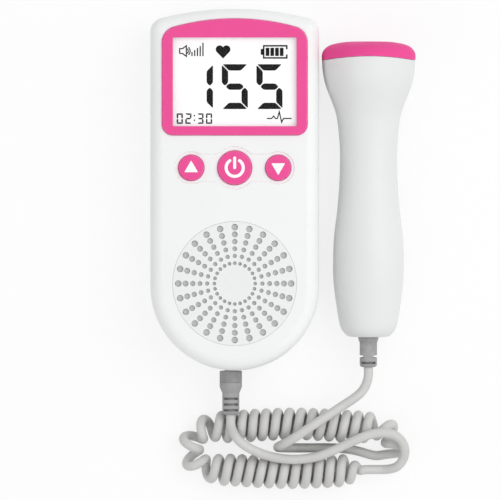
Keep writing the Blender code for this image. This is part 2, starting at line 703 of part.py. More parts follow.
def make_display(pink, clear, glass, pale):
    bm = bmesh.new()
    shoulder = BEZEL_EDGE * EDGE_MID_SHARE
    add_layers(bm, [
        (bezel_outline(0), BEZEL_SEAT_Z + GAP), (bezel_outline(0), BEZEL_TOP_Z - BEZEL_EDGE),
        (bezel_outline(shoulder), BEZEL_TOP_Z - shoulder), (bezel_outline(BEZEL_EDGE), BEZEL_TOP_Z),
    ])
    bezel = new_object("display_bezel", bm, pink)
    window = bmesh.new()
    screen = rounded_box(0, SCREEN_Y, SCREEN_WIDTH, SCREEN_HEIGHT, SCREEN_CORNER)
    outer = pane_outline(GAP)
    lip_z = BEZEL_TOP_Z - BEZEL_LIP
    add_layers(window, [
        (outer, BEZEL_SEAT_Z - OVERRUN), (outer, lip_z), (screen, lip_z), (screen, BEZEL_TOP_Z + OVERRUN),
    ])
    combine(bezel, new_tool("display_bezel_window", window), "DIFFERENCE")

    bm = bmesh.new()
    add_prism(bm, pane_outline(0), PANE_Z, PANE_TOP_Z)
    new_object("display_window", bm, clear)

    bm = bmesh.new()
    lcd_z = LCD_TOP_Z - LCD_THICKNESS
    add_prism(bm, rounded_box(0, SCREEN_Y, lcd_width(), lcd_height(), SCREEN_CORNER, 2), lcd_z, LCD_TOP_Z)
    new_object("lcd_panel", bm, glass)

    bm = bmesh.new()
    width = lcd_width() - 2 * BACKLIGHT_RIM
    height = lcd_height() - 2 * BACKLIGHT_RIM
    add_prism(bm, rounded_box(0, SCREEN_Y, width, height, SCREEN_CORNER, 2), BOARD_TOP_Z + GAP, lcd_z - GAP)
    new_object("lcd_backlight", bm, pale)


# The buttons


def make_button(name, x, radius, pink):
    """A cap with a flange that holds it under the face, and a stem that presses its switch."""
    top = FRONT_Z + BUTTON_PROUD
    flange_z = FLANGE_TOP_Z - BUTTON_FLANGE_THICKNESS
    shoulder = BUTTON_EDGE * EDGE_MID_SHARE
    profile = [
        (0, STEM_FOOT_Z), (STEM_RADIUS, STEM_FOOT_Z), (STEM_RADIUS, flange_z),
        (radius + BUTTON_FLANGE, flange_z), (radius + BUTTON_FLANGE, FLANGE_TOP_Z), (radius, FLANGE_TOP_Z),
        (radius, top - BUTTON_EDGE), (radius - shoulder, top - shoulder), (radius - BUTTON_EDGE, top),
        (0, top),
    ]
    bm = bmesh.new()
    add_turned(bm, profile, 18, Matrix.Translation((x, BUTTON_Y, 0)))
    new_object(name, bm, pink, (x, BUTTON_Y, FRONT_Z))


def make_switch(switch, plunger, x, dark, pale):
    """A tactile switch on the board: a square body with a well, and the plunger that moves in it."""
    bm = bmesh.new()
    top = SWITCH_Z + SWITCH_HEIGHT
    add_prism(bm, rounded_box(x, BUTTON_Y, SWITCH_WIDTH, SWITCH_WIDTH, LEAST_CORNER, 1), SWITCH_Z, top)
    body = new_object(switch, bm, dark)
    well = bmesh.new()
    foot = PLUNGER_TOP_Z - PLUNGER_HEIGHT
    add_rod(well, x, BUTTON_Y, PLUNGER_RADIUS + GAP, foot - BUTTON_TRAVEL - BITE, top + OVERRUN, 10)
    combine(body, new_tool(switch + "_well", well), "DIFFERENCE")

    bm = bmesh.new()
    add_rod(bm, x, BUTTON_Y, PLUNGER_RADIUS, foot, PLUNGER_TOP_Z, 10)
    new_object(plunger, bm, pale, (x, BUTTON_Y, PLUNGER_TOP_Z))


# The speaker


def make_grille(white):
    bm = bmesh.new()
    add_rod(bm, 0, GRILLE_Y, GRILLE_RADIUS, GRILLE_Z, FRONT_Z, 32)
    grille = new_object("speaker_grille", bm, white)
    holes = bmesh.new()
    for ring in range(GRILLE_RINGS):
        distance = GRILLE_RADIUS * (GRILLE_INNER_RING_SHARE + ring * GRILLE_RING_STEP_SHARE)
        radius = GRILLE_RADIUS * (GRILLE_INNER_HOLE_SHARE + ring * GRILLE_HOLE_STEP_SHARE) / 2
        for spoke in range(GRILLE_SPOKES):
            turn = math.pi / 2 + 2 * math.pi * spoke / GRILLE_SPOKES
            x, y = distance * math.cos(turn), GRILLE_Y + distance * math.sin(turn)
            add_rod_open(holes, x, y, radius, turn)
    combine(grille, new_tool("speaker_grille_holes", holes), "DIFFERENCE")


def add_rod_open(bm, x, y, radius, turn):
    """One six-sided sound hole, with a corner towards the grille's middle."""
    outline = arc(x, y, radius, turn, turn + 2 * math.pi, 6)[:-1]
    add_prism(bm, outline, GRILLE_Z - OVERRUN, FRONT_Z + OVERRUN)


def make_speaker(cloth, steel, paper, magnet):
    place = Matrix.Translation((0, GRILLE_Y, 0))
    bm = bmesh.new()
    add_rod(bm, 0, GRILLE_Y, SPEAKER_RADIUS, CLOTH_Z, CLOTH_Z + CLOTH_THICKNESS, 24)
    new_object("speaker_cloth", bm, cloth)

    sheet = SPEAKER_SHEET
    inner = SPEAKER_RADIUS - SPEAKER_FLANGE
    foot = inner - SPEAKER_TAPER
    profile = [
        (SPEAKER_RADIUS, SPEAKER_TOP_Z), (SPEAKER_RADIUS, SPEAKER_TOP_Z - sheet),
        (inner, SPEAKER_TOP_Z - sheet), (foot, SPEAKER_FOOT_Z), (CONE_EYE_RADIUS / 2, SPEAKER_FOOT_Z),
        (CONE_EYE_RADIUS / 2, SPEAKER_FOOT_Z + sheet), (foot - sheet, SPEAKER_FOOT_Z + sheet),
        (inner - sheet, SPEAKER_TOP_Z),
    ]
    bm = bmesh.new()
    add_turned(bm, profile, 20, place, closed=True)
    new_object("speaker_frame", bm, steel)

    rim = inner - sheet - GAP
    thin = CONE_THICKNESS
    eye = SPEAKER_TOP_Z - CONE_DEPTH
    profile = [
        (0, eye), (CONE_EYE_RADIUS, eye - thin), (rim - thin, SPEAKER_TOP_Z - 2 * thin),
        (rim, SPEAKER_TOP_Z - thin), (rim - thin, SPEAKER_TOP_Z - thin), (CONE_EYE_RADIUS, eye),
        (0, eye + 2 * thin),
    ]
    bm = bmesh.new()
    add_turned(bm, profile, 20, place)
    new_object("speaker_cone", bm, paper)

    bm = bmesh.new()
    top = SPEAKER_FOOT_Z - GAP
    add_rod(bm, 0, GRILLE_Y, MAGNET_RADIUS, top - MAGNET_HEIGHT, top, 20)
    new_object("speaker_magnet", bm, magnet)


# The circuit board


def make_board(green, steel):
    top = UNIT_LENGTH / 2 - BOARD_TOP_DROP
    clear = SCREW_RADIUS + GAP + BOSS_WALL + BOARD_CLEARANCE
    shoulder = CASE_SCREWS[0][1] - clear
    half, narrow = BOARD_WIDTH / 2, CASE_SCREW_TOP_X - clear
    right = [(half, BOARD_FOOT_Y), (half, shoulder), (narrow, shoulder), (narrow, top)]
    outline = right + [(-x, y) for x, y in reversed(right)]
    bm = bmesh.new()
    add_prism(bm, outline, BOARD_Z, BOARD_TOP_Z)
    board = new_object("circuit_board", bm, green)
    holes = bmesh.new()
    for x, y in BOARD_POSTS:
        add_rod(holes, x, y, BOARD_SCREW_RADIUS + GAP, BOARD_Z - OVERRUN, BOARD_TOP_Z + OVERRUN, 8)
    combine(board, new_tool("circuit_board_holes", holes), "DIFFERENCE")

    for number, (x, y) in enumerate(BOARD_POSTS, 1):
        head_z = BOARD_Z - GAP
        tip_z = head_z + BOARD_SCREW_LENGTH
        profile = [
            (0, head_z - BOARD_SCREW_HEAD), (BOARD_SCREW_HEAD_RADIUS, head_z - BOARD_SCREW_HEAD),
            (BOARD_SCREW_HEAD_RADIUS, head_z), (BOARD_SCREW_RADIUS, head_z),
            (BOARD_SCREW_RADIUS, tip_z - BOARD_SCREW_RADIUS), (0, tip_z),
        ]
        bm = bmesh.new()
        add_turned(bm, profile, 8, Matrix.Translation((x, y, 0)))
        new_object(f"board_screw_{number}", bm, steel, (x, y, head_z))


# The batteries


def battery_profile():
    radius, edge = BATTERY_RADIUS, BATTERY_EDGE
    shoulder = BATTERY_LENGTH - BATTERY_NUB_LENGTH
    return [
        (0, 0), (radius - edge, 0), (radius, edge), (radius, shoulder - edge), (radius - edge, shoulder),
        (BATTERY_NUB_RADIUS, shoulder), (BATTERY_NUB_RADIUS, BATTERY_LENGTH), (0, BATTERY_LENGTH),
    ]


def make_batteries(label, steel):
    """Two cells side by side, one each way up, between a pair of end contacts and a link."""
    offset = BATTERY_RADIUS + BATTERY_PAIR_GAP / 2
    link_y = BAY_TOP_Y - GAP - CONTACT_THICKNESS
    foot_y = BAY_FOOT_Y + GAP + CONTACT_THICKNESS
    for name, x, start, towards in (
        ("battery_left", -offset, foot_y + SPRING_HEIGHT + GAP, 1),
        ("battery_right", offset, link_y - SPRING_HEIGHT - GAP, -1),
    ):
        bm = bmesh.new()
        add_turned(bm, battery_profile(), 18, along_y(start, BATTERY_Z, x, towards))
        new_object(name, bm, label, (x, start, BATTERY_Z))

    half = CONTACT_WIDTH / 2
    heights = (BATTERY_Z - half, BATTERY_Z + half)
    end_y = foot_y - CONTACT_THICKNESS
    for name, x, y, spring_x, towards in (
        ("battery_link", (-offset - half, offset + half), link_y, offset, -1),
        ("battery_contact_negative", (-offset - half, -offset + half), end_y, -offset, 1),
        ("battery_contact_positive", (offset - half, offset + half), end_y, None, 1),
    ):
        bm = bmesh.new()
        add_box(bm, x, (y, y + CONTACT_THICKNESS), heights)
        plate = new_object(name, bm, steel)
        if spring_x is None:
            continue
        start = y if towards < 0 else y + CONTACT_THICKNESS
        spring = bmesh.new()
        add_spring(spring, along_y(start, BATTERY_Z, spring_x, towards))
        combine(plate, new_tool(name + "_spring", spring), "UNION")


def add_spring(bm, place):
    """A conical contact spring of round wire that grows out of its plate."""
    steps = round(SPRING_TURNS * 7)
    wire = CONTACT_WIRE_RADIUS
    rings = []
    for step in range(steps + 1):
        share = step / steps
        turn = 2 * math.pi * SPRING_TURNS * share
        radius = SPRING_BASE_RADIUS + (SPRING_TIP_RADIUS - SPRING_BASE_RADIUS) * share
        height = (SPRING_HEIGHT - wire) * share
        out = Vector((math.cos(turn), math.sin(turn), 0))
        centre = out * radius + Vector((0, 0, height))
        around = [2 * math.pi * i / 5 for i in range(5)]
        ring = [centre + wire * (out * math.cos(a) + Vector((0, 0, math.sin(a)))) for a in around]
        rings.append([place @ point for point in ring])
    add_rings(bm, rings)


# The plug and its socket


def make_socket(dark):
    corner_x = SOCKET_WIDTH / 2 + abs(PLUG_X)
    end_wall = math.sqrt((UNIT_WIDTH / 2 - WALL) ** 2 - corner_x ** 2)
    front = -UNIT_LENGTH / 2 + UNIT_WIDTH / 2 - end_wall + GAP
    back = BAY_FOOT_Y - BAY_WALL - GAP
    half, tall = SOCKET_WIDTH / 2, SOCKET_HEIGHT / 2
    bm = bmesh.new()
    add_box(bm, (PLUG_X - half, PLUG_X + half), (front, back), (SPLIT_HEIGHT - tall, SPLIT_HEIGHT + tall))
    socket = new_object("probe_socket", bm, dark)
    bore = bmesh.new()
    depth = back - SOCKET_BACK
    radius = PIN_RADIUS + GAP
    profile = [(0, 0), (radius, 0), (radius, depth - front + OVERRUN), (0, depth - front + OVERRUN)]
    add_turned(bore, profile, 10, along_y(depth, SPLIT_HEIGHT, PLUG_X))
    combine(socket, new_tool("probe_socket_bore", bore), "DIFFERENCE")
    return depth - GAP


def make_unit_plug(pin_tip_y, grey):
    """The plug: its pin in the socket, a thick head against the housing and a ribbed sleeve."""
    head = -UNIT_LENGTH / 2 - GAP
    start = pin_tip_y - head
    sleeve = PLUG_HEAD + PLUG_TAPER
    tip = PIN_RADIUS * PIN_TIP_SHARE
    profile = [(0, -start), (tip, -start), (PIN_RADIUS, -start + tip), (PIN_RADIUS, 0)]
    profile += [(PLUG_RADIUS, 0), (PLUG_RADIUS, PLUG_HEAD), (SLEEVE_RADIUS, sleeve)]
    profile += grooves(SLEEVE_RADIUS, [sleeve + RIB_START + RIB_PITCH * rib for rib in range(RIBS)])
    end = sleeve + SLEEVE_LENGTH
    profile += rounded_end(SLEEVE_RADIUS, SLEEVE_END_RADIUS, end)
    bm = bmesh.new()
    add_turned(bm, profile, 14, along_y(head, SPLIT_HEIGHT, PLUG_X))
    new_object("unit_plug", bm, grey, (PLUG_X, head, SPLIT_HEIGHT))


def grooves(radius, places):
    """Square grooves round a sleeve, one at each place along it."""
    half, deep = RIB_GROOVE / 2, radius - RIB_GROOVE_DEPTH
    points = []
    for place in places:
        points += [(radius, place - half), (deep, place - half), (deep, place + half), (radius, place + half)]
    return points


def rounded_end(radius, end_radius, end):
    drop = radius - end_radius
    shoulder = drop * EDGE_MID_SHARE
    return [(radius, end - drop), (radius - shoulder, end - shoulder), (end_radius, end), (0, end)]


# The probe


def probe_profile():
    """The probe's turned outline, as radius and distance from the tail."""
    return [(PROBE_HEAD_RADIUS * radius, PROBE_LENGTH * place) for place, radius in PROBE_OUTLINE_SHARES]


def probe_tilt():
    """The tilt at which the probe lies on the head and on the swelling of its tail."""
    points = probe_profile()
    middle = PROBE_LENGTH / 2
    for tail_radius, tail in points:
        for head_radius, head in points:
            if tail >= middle or head <= middle:
                continue
            slope = (head_radius - tail_radius) / (head - tail)
            if all(radius <= tail_radius + slope * (place - tail) + WELD for radius, place in points):
                tilt = math.atan(slope)
                return tilt, tail_radius * math.cos(tilt) - tail * math.sin(tilt)
    raise ValueError("the probe has no two places to lie on")


def probe_place():
    """The probe's own frame: +Z runs along its axis from the tail, and -X faces down."""
    tilt, height = probe_tilt()
    turn = Matrix(((0, 1, 0), (0, 0, 1), (1, 0, 0))).to_4x4()
    lift = Matrix.Rotation(tilt, 4, "X")
    return Matrix.Translation((PROBE_X, PROBE_TAIL_Y, height + WELD)) @ lift @ turn


def probe_inside():
    """The hollow of the probe, its wall measured square to the axis and the head's face kept thick."""
    points = []
    for radius, place in probe_profile():
        near, far = PROBE_WALL, PROBE_LENGTH - PROBE_WALL
        if near < place < far and radius > PROBE_WALL + GLAND_NECK_RADIUS:
            points.append((radius - PROBE_WALL, place))
    first = (points[0][0], PROBE_WALL)
    last = (points[-1][0] - PROBE_WALL, PROBE_LENGTH - PROBE_WALL)
    body = [p for p in points if p[1] < PROBE_LENGTH - 2 * PROBE_WALL]
    return [first] + body[:-1:PROBE_INSIDE_EVERY] + [body[-1], last]


def add_probe_skin(bm, segments=24):
    bore = GLAND_NECK_RADIUS + GAP
    outer = [(bore, 0)] + probe_profile() + [(0, PROBE_LENGTH)]
    inner = probe_inside()
    back = [(0, PROBE_LENGTH - PROBE_WALL)] + inner[::-1] + [(bore, PROBE_WALL)]
    add_turned(bm, outer + back, segments, Matrix.Identity(4), closed=True)


def add_cap_region(bm, offset, steps=12):
    """Everything on the head's side of the arched seam, in the probe's own frame."""
    reach = PROBE_HEAD_RADIUS + OVERRUN
    seam = PROBE_LENGTH - CAP_LENGTH + offset
    curve = []
    for y in np.linspace(-reach, reach, steps + 1):
        curve.append((y, seam - CAP_SEAM_RADIUS + math.sqrt(CAP_SEAM_RADIUS ** 2 - y ** 2)))
    outline = curve + [(reach, PROBE_LENGTH + OVERRUN), (-reach, PROBE_LENGTH + OVERRUN)]
    add_rings(bm, [[(x, y, z) for y, z in outline] for x in (-reach, reach)])


def make_probe(pink, white, brass, epoxy, green, grey):
    """The probe in its own frame, hung on an empty that lays it on the table."""
    rest = bpy.data.objects.new("probe_rest", None)
    rest.matrix_world = probe_place()
    bpy.context.scene.collection.objects.link(rest)
    reach = PROBE_HEAD_RADIUS + OVERRUN

    bm = bmesh.new()
    add_probe_skin(bm)
    cap = new_object("probe_cap", bm, pink, parent=rest)
    region = bmesh.new()
    add_cap_region(region, 0)
    combine(cap, new_tool("probe_cap_region", region, rest), "INTERSECT")

    region = bmesh.new()
    add_cap_region(region, -SEAM)
    head = new_tool("probe_head_cut", region, rest)
    for name, side in (("probe_upper_shell", 1), ("probe_lower_shell", -1)):
        bm = bmesh.new()
        add_probe_skin(bm)
        shell = new_object(name, bm, white, parent=rest)
        combine(shell, head, "DIFFERENCE")
        other = bmesh.new()
        x = sorted((side * SEAM / 2, -side * reach))
        add_box(other, x, (-reach, reach), (-OVERRUN, PROBE_LENGTH + OVERRUN))
        combine(shell, new_tool(name + "_half", other, rest), "DIFFERENCE")
        if side < 0:
            combine(shell, new_tool("probe_ribs", probe_ribs(), rest), "UNION")

    bm = bmesh.new()
    half = PROBE_BOARD_WIDTH / 2
    thick = BOARD_THICKNESS / 2
    ends = (PROBE_BOARD_START, PROBE_BOARD_START + PROBE_BOARD_LENGTH)
    add_box(bm, (-thick, thick), (-half, half), ends)
    new_object("probe_board", bm, green, parent=rest)

    face = PROBE_LENGTH - PROBE_WALL - GAP
    for name, side in (("transmit_crystal", 1), ("receive_crystal", -1)):
        bm = bmesh.new()
        apart = math.asin(CRYSTAL_APART / 2 / CRYSTAL_RADIUS)
        outline = [(side * x, y) for y, x in arc(0, 0, CRYSTAL_RADIUS, apart, math.pi - apart, 12)]
        add_prism(bm, outline, face - CRYSTAL_THICKNESS, face)
        new_object(name, bm, brass, parent=rest)
    back = face - CRYSTAL_THICKNESS - GAP
    bm = bmesh.new()
    add_rod(bm, 0, 0, BACKING_RADIUS, back - BACKING_THICKNESS, back, 28)
    new_object("crystal_backing", bm, epoxy, parent=rest)

    bm = bmesh.new()
    add_turned(bm, gland_profile(), 14)
    new_object("probe_gland", bm, grey, parent=rest)


def probe_ribs():
    """Two ribs across the lower shell that carry the probe's board."""
    bm = bmesh.new()
    inside = probe_inside()
    places = [p[1] for p in inside]
    for share in PROBE_RIB_PLACE_SHARES:
        place = PROBE_BOARD_START + share * PROBE_BOARD_LENGTH
        radius = min(np.interp((place, place + PROBE_RIB), places, [p[0] for p in inside])) + PROBE_WALL / 2
        top = -BOARD_THICKNESS / 2 - GAP
        turn = math.acos(-top / radius)
        outline = [(x, y) for x, y in arc(0, 0, radius, math.pi - turn, math.pi + turn, 14)]
        add_prism(bm, outline, place, place + PROBE_RIB)
    return bm


def gland_profile():
    """The cord's grommet: a flange held inside the tail, a neck, a flared shoulder and a sleeve."""
    inner = PROBE_WALL + GAP
    out = -GAP
    end = -GLAND_LENGTH
    profile = [
        (0, inner + GLAND_FLANGE), (GLAND_FLANGE_RADIUS, inner + GLAND_FLANGE), (GLAND_FLANGE_RADIUS, inner),
        (GLAND_NECK_RADIUS, inner), (GLAND_NECK_RADIUS, out), (GLAND_FLARE_RADIUS, out),
        (GLAND_RADIUS, out - GLAND_FLARE),
    ]
    profile += [(r, -z) for r, z in grooves(GLAND_RADIUS, GLAND_GROOVES)]
    return profile + [(r, -z) for r, z in rounded_end(GLAND_RADIUS, GLAND_END_RADIUS, -end)]


# The cord


def smooth_curve(points, start_way=None, end_way=None, steps=16):
    """A smooth curve through the route's points, its speed and bend unbroken at each."""
    knots = np.array(points)
    gaps = np.linalg.norm(np.diff(knots, axis=0), axis=1) ** 0.5
    count = len(knots)
    matrix, sums = np.eye(count), np.zeros((count, 3))
    for end, way, step in ((0, start_way, 0), (-1, end_way, -1)):
        chord = knots[1] - knots[0] if end == 0 else knots[-1] - knots[-2]
        way = chord if way is None else np.array(way)
        sums[end] = np.linalg.norm(chord) / gaps[step] * way / np.linalg.norm(way)
    for i in range(1, count - 1):
        before, after = gaps[i - 1], gaps[i]
        matrix[i, i - 1:i + 2] = after, 2 * (before + after), before
        before_way, after_way = (knots[i] - knots[i - 1]) / before, (knots[i + 1] - knots[i]) / after
        sums[i] = 3 * (after * before_way + before * after_way)
    speeds = np.linalg.solve(matrix, sums)
    curve = []
    for i in range(count - 1):
        for t in np.arange(steps) / steps:
            curve.append(
                (2 * t ** 3 - 3 * t ** 2 + 1) * knots[i] + (t ** 3 - 2 * t ** 2 + t) * gaps[i] * speeds[i]
                + (3 * t ** 2 - 2 * t ** 3) * knots[i + 1] + (t ** 3 - t ** 2) * gaps[i] * speeds[i + 1]
            )
    return np.array(curve + [knots[-1]])


def evenly(points, step):
    """The same line with its points an even step apart."""
    run = np.concatenate([[0], np.cumsum(np.linalg.norm(np.diff(points, axis=0), axis=1))])
    places = np.linspace(0, run[-1], max(round(run[-1] / step), 2) + 1)
    return np.stack([np.interp(places, run, column) for column in points.T], 1)


def lead_points(curve, steps=16):
    """A lead's points: its first and last stretch stay straight, and the rest are evenly apart."""
    return np.concatenate([curve[:1], evenly(curve[steps:-steps], LEAD_STEP), curve[-1:]])


def coil_line():
    """The line that the curls wind about, seen from above: the front run, the left turn, the rear run
    and most of the right turn, which make a ring."""
    def run(places, side):
        shares = 2 * (places - COIL_LEFT_X) / (COIL_RIGHT_X - COIL_LEFT_X)
        bow = COIL_BOW * (1 - np.cos(math.pi * shares)) / 2
        return list(zip(places, COIL_MIDDLE_Y + side * (COIL_TURN_RADIUS + bow)))

    quarter = math.pi / 2
    return evenly(np.array(
        run(np.arange(COIL_RIGHT_X, COIL_LEFT_X, -COIL_STEP), -1)
        + arc(COIL_LEFT_X, COIL_MIDDLE_Y, COIL_TURN_RADIUS, -quarter, -3 * quarter, 100)[:-1]
        + run(np.arange(COIL_LEFT_X, COIL_RIGHT_X, COIL_STEP), 1)
        + arc(COIL_RIGHT_X, COIL_MIDDLE_Y, COIL_TURN_RADIUS, quarter, COIL_END_TURN, 80)
    ), COIL_STEP)


def coil_points():
    """The curls' centre line. It starts straight at the unit lead and opens into curls. At the turns
    the curls are smaller and spread, to stay clear on the inside. It ends straight, on the table."""
    line = coil_line()
    ways = np.gradient(line, axis=0)
    ways /= np.linalg.norm(ways, axis=1)[:, None]
    sides = np.stack([-ways[:, 1], ways[:, 0]], 1)
    bends = np.abs(np.gradient(np.unwrap(np.arctan2(ways[:, 1], ways[:, 0])), COIL_STEP))
    window = np.hanning(COIL_SMOOTHING)
    bends = np.convolve(np.pad(bends, COIL_SMOOTHING // 2, mode="edge"), window / window.sum(), "valid")
    runs = np.arange(len(line)) * COIL_STEP
    points, run, turn = [], 0, -math.pi / 2
    while run <= runs[-1]:
        ease = min(max((run - CORD_DIAMETER) / COIL_RAMP, 0), 1)
        ease = ease * ease * (3 - 2 * ease)
        bend = min(COIL_BEND_LEAD * np.interp(run, runs, bends), 1 / COIL_TURN_RADIUS)
        turned = bend * COIL_TURN_RADIUS
        radius = CURL_RADIUS + (TURN_CURL_RADIUS - CURL_RADIUS) * turned
        pitch = CURL_PITCH * (1 + COIL_LOOSER_SHARE * (1 - ease)) * (1 + COIL_TURN_ROOM_SHARE * turned)
        centre = [np.interp(run, runs, line[:, k]) for k in (0, 1)]
        side = [np.interp(run, runs, sides[:, k]) for k in (0, 1)]
        out = ease * radius * math.cos(turn)
        height = COIL_FOOT + radius + ease * radius * math.sin(turn)
        points.append((centre[0] + out * side[0], centre[1] + out * side[1], height))
        run += pitch / (1 - bend * radius) / CURL_POINTS
        turn -= 2 * math.pi / CURL_POINTS
    last_low = (len(points) - 1) // CURL_POINTS * CURL_POINTS
    points = np.array(points[:last_low + 1])
    way = (points[-1] - points[-2]) * (1, 1, 0)
    return np.vstack([points, points[-1] + way / np.linalg.norm(way) * CORD_DIAMETER])


def end_stretch(end, way):
    """The straight last stretch of a lead that meets another end, a gap away from it."""
    way = np.array(way) / np.linalg.norm(way)
    return [tuple(np.array(end) + way * reach) for reach in (GAP, GAP + CORD_DIAMETER)]


def least_self_gap(points):
    """The least clear distance between parts of the coil that are not neighbours along it."""
    steps_apart = 14
    dense = evenly(points, 2 * CORD_DIAMETER / steps_apart)
    least = math.inf
    for i, point in enumerate(dense[:-steps_apart]):
        least = min(least, np.linalg.norm(dense[i + steps_apart:] - point, axis=1).min())
    return least - CORD_DIAMETER


def make_cord_piece(name, points, resolution, rubber):
    curve = bpy.data.curves.new(name, "CURVE")
    curve.dimensions = "3D"
    curve.bevel_depth = CORD_DIAMETER / 2
    curve.bevel_resolution = resolution
    curve.use_fill_caps = True
    spline = curve.splines.new("POLY")
    spline.points.add(len(points) - 1)
    for place, point in zip(spline.points, points):
        place.co = (*point, 1)
    curve.materials.append(rubber)
    made = bpy.data.objects.new(name, curve)
    bpy.context.scene.collection.objects.link(made)


def make_cord(rubber):
    coil = coil_points()
    plug_end = end_stretch((PLUG_X, PLUG_END_Y, SPLIT_HEIGHT), (0, -1, 0))
    curls_start = end_stretch(coil[0], coil[0] - coil[1])
    curls_end = end_stretch(coil[-1], coil[-1] - coil[-2])
    place = probe_place()
    gland_end = place @ Vector((0, 0, -GLAND_LENGTH))
    axis = place.to_3x3() @ Vector((0, 0, 1))
    probe_end = end_stretch(gland_end, -axis)
    unit_route = [*plug_end, *np.array(UNIT_LEAD_POINTS) * MM, *curls_start[::-1]]
    probe_route = [*curls_end, *np.array(PROBE_LEAD_POINTS) * MM, *probe_end[::-1]]
    unit_lead = smooth_curve(unit_route, (0, -1, 0), coil[1] - coil[0])
    probe_lead = smooth_curve(probe_route, coil[-1] - coil[-2], axis)
    make_cord_piece("unit_lead", lead_points(unit_lead), 2, rubber)
    make_cord_piece("probe_lead", lead_points(probe_lead), 2, rubber)
    make_cord_piece("cord_coil", coil, 1, rubber)
    print(f"least gap of the curls to themselves: {least_self_gap(coil) / MM:.2f} mm")


def main():
    for old in list(bpy.data.objects):
        bpy.data.objects.remove(old, do_unlink=True)
    white = new_material("white_plastic", (0.86, 0.87, 0.87), 0.35)
    pink = new_material("pink_plastic", (0.84, 0.1, 0.33), 0.35)
    clear = new_material("clear_window", (0.95, 0.97, 0.98), 0.05, alpha=0.35)
    glass = new_material("lcd_glass", (0.82, 0.84, 0.82), 0.2)
    pale = new_material("pale_plastic", (0.75, 0.75, 0.72), 0.5)
    dark = new_material("dark_plastic", (0.06, 0.06, 0.07), 0.5)
    grey = new_material("grey_rubber", (0.33, 0.33, 0.32), 0.6)
    rubber = new_material("cord_rubber", (0.6, 0.6, 0.59), 0.5)
    steel = new_material("steel", (0.62, 0.62, 0.6), 0.3, 1.0)
    green = new_material("board_green", (0.03, 0.22, 0.1), 0.45)
    paper = new_material("speaker_paper", (0.07, 0.07, 0.07), 0.85)
    cloth = new_material("speaker_cloth", (0.4, 0.41, 0.4), 0.9)
    magnet = new_material("magnet", (0.12, 0.12, 0.12), 0.5, 0.6)
    label = new_material("battery_label", (0.1, 0.12, 0.16), 0.4)
    brass = new_material("crystal_silver", (0.75, 0.72, 0.62), 0.3, 0.8)
    epoxy = new_material("backing_epoxy", (0.25, 0.22, 0.2), 0.7)

    make_front_casing(white)
    make_rear_casing(white)
    make_battery_door(white)
    make_case_screws(steel)
    make_display(pink, clear, glass, pale)
    for name, switch, plunger, x, radius in BUTTONS:
        make_button(name, x, radius, pink)
        make_switch(switch, plunger, x, dark, pale)
    make_grille(white)
    make_speaker(cloth, steel, paper, magnet)
    make_board(green, steel)
    make_batteries(label, steel)
    pin_tip_y = make_socket(dark)
    make_unit_plug(pin_tip_y, grey)
    make_probe(pink, white, brass, epoxy, green, grey)
    make_cord(rubber)


main()
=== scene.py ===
"""A hand-held fetal doppler monitor with its probe and curly cord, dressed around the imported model.

The monitor lies on its back with the display up. Lengths are in metres, +Y runs towards the monitor's
top edge, and the origin is the middle of its rear face.
"""

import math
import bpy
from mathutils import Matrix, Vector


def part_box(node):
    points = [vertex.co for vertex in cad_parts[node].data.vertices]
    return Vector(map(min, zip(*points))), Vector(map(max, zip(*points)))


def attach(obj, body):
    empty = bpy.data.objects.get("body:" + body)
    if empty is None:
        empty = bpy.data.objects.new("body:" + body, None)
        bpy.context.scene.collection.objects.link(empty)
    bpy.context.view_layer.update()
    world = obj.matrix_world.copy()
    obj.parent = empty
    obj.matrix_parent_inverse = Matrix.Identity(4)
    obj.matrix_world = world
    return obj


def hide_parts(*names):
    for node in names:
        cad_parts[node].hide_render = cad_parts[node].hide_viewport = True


bl_info = {
    "name": "Fetal doppler monitor",
    "version": (1, 0, 0),
    "blender": (4, 5, 0),
    "location": "View3D > Sidebar > Doppler",
    "description": "Models a doppler monitor, its probe and its curly cord, piece by piece",
    "category": "Add Mesh",
}

import bmesh
import bpy
import numpy as np
from bpy.props import FloatProperty, FloatVectorProperty, IntProperty, PointerProperty
from bpy.types import Operator, Panel, PropertyGroup
from mathutils import Matrix, Vector

MM = 0.001
QUARTER = math.pi / 2

# Points closer than WELD are one point, a cutter runs OVERRUN past its face, a part joined to a wall reaches
# BITE into it, CLEARANCE is left round a seated piece, and an arc has one segment for each ARC_STEP
WELD = 0.002 * MM
OVERRUN = 1.5 * MM
BITE = 0.2 * MM
CLEARANCE = 0.3 * MM
ARC_STEP = math.radians(3)

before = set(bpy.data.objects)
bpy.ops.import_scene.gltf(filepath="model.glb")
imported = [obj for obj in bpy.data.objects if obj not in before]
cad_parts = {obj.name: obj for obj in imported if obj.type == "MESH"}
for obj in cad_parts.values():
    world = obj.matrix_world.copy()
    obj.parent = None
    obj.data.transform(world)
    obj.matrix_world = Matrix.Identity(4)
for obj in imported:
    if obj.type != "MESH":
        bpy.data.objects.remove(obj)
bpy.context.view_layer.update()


# Places read from the frame


def span(node, axis):
    low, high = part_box(node)
    return high[axis] - low[axis]


def middle(node):
    low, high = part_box(node)
    return (low + high) / 2


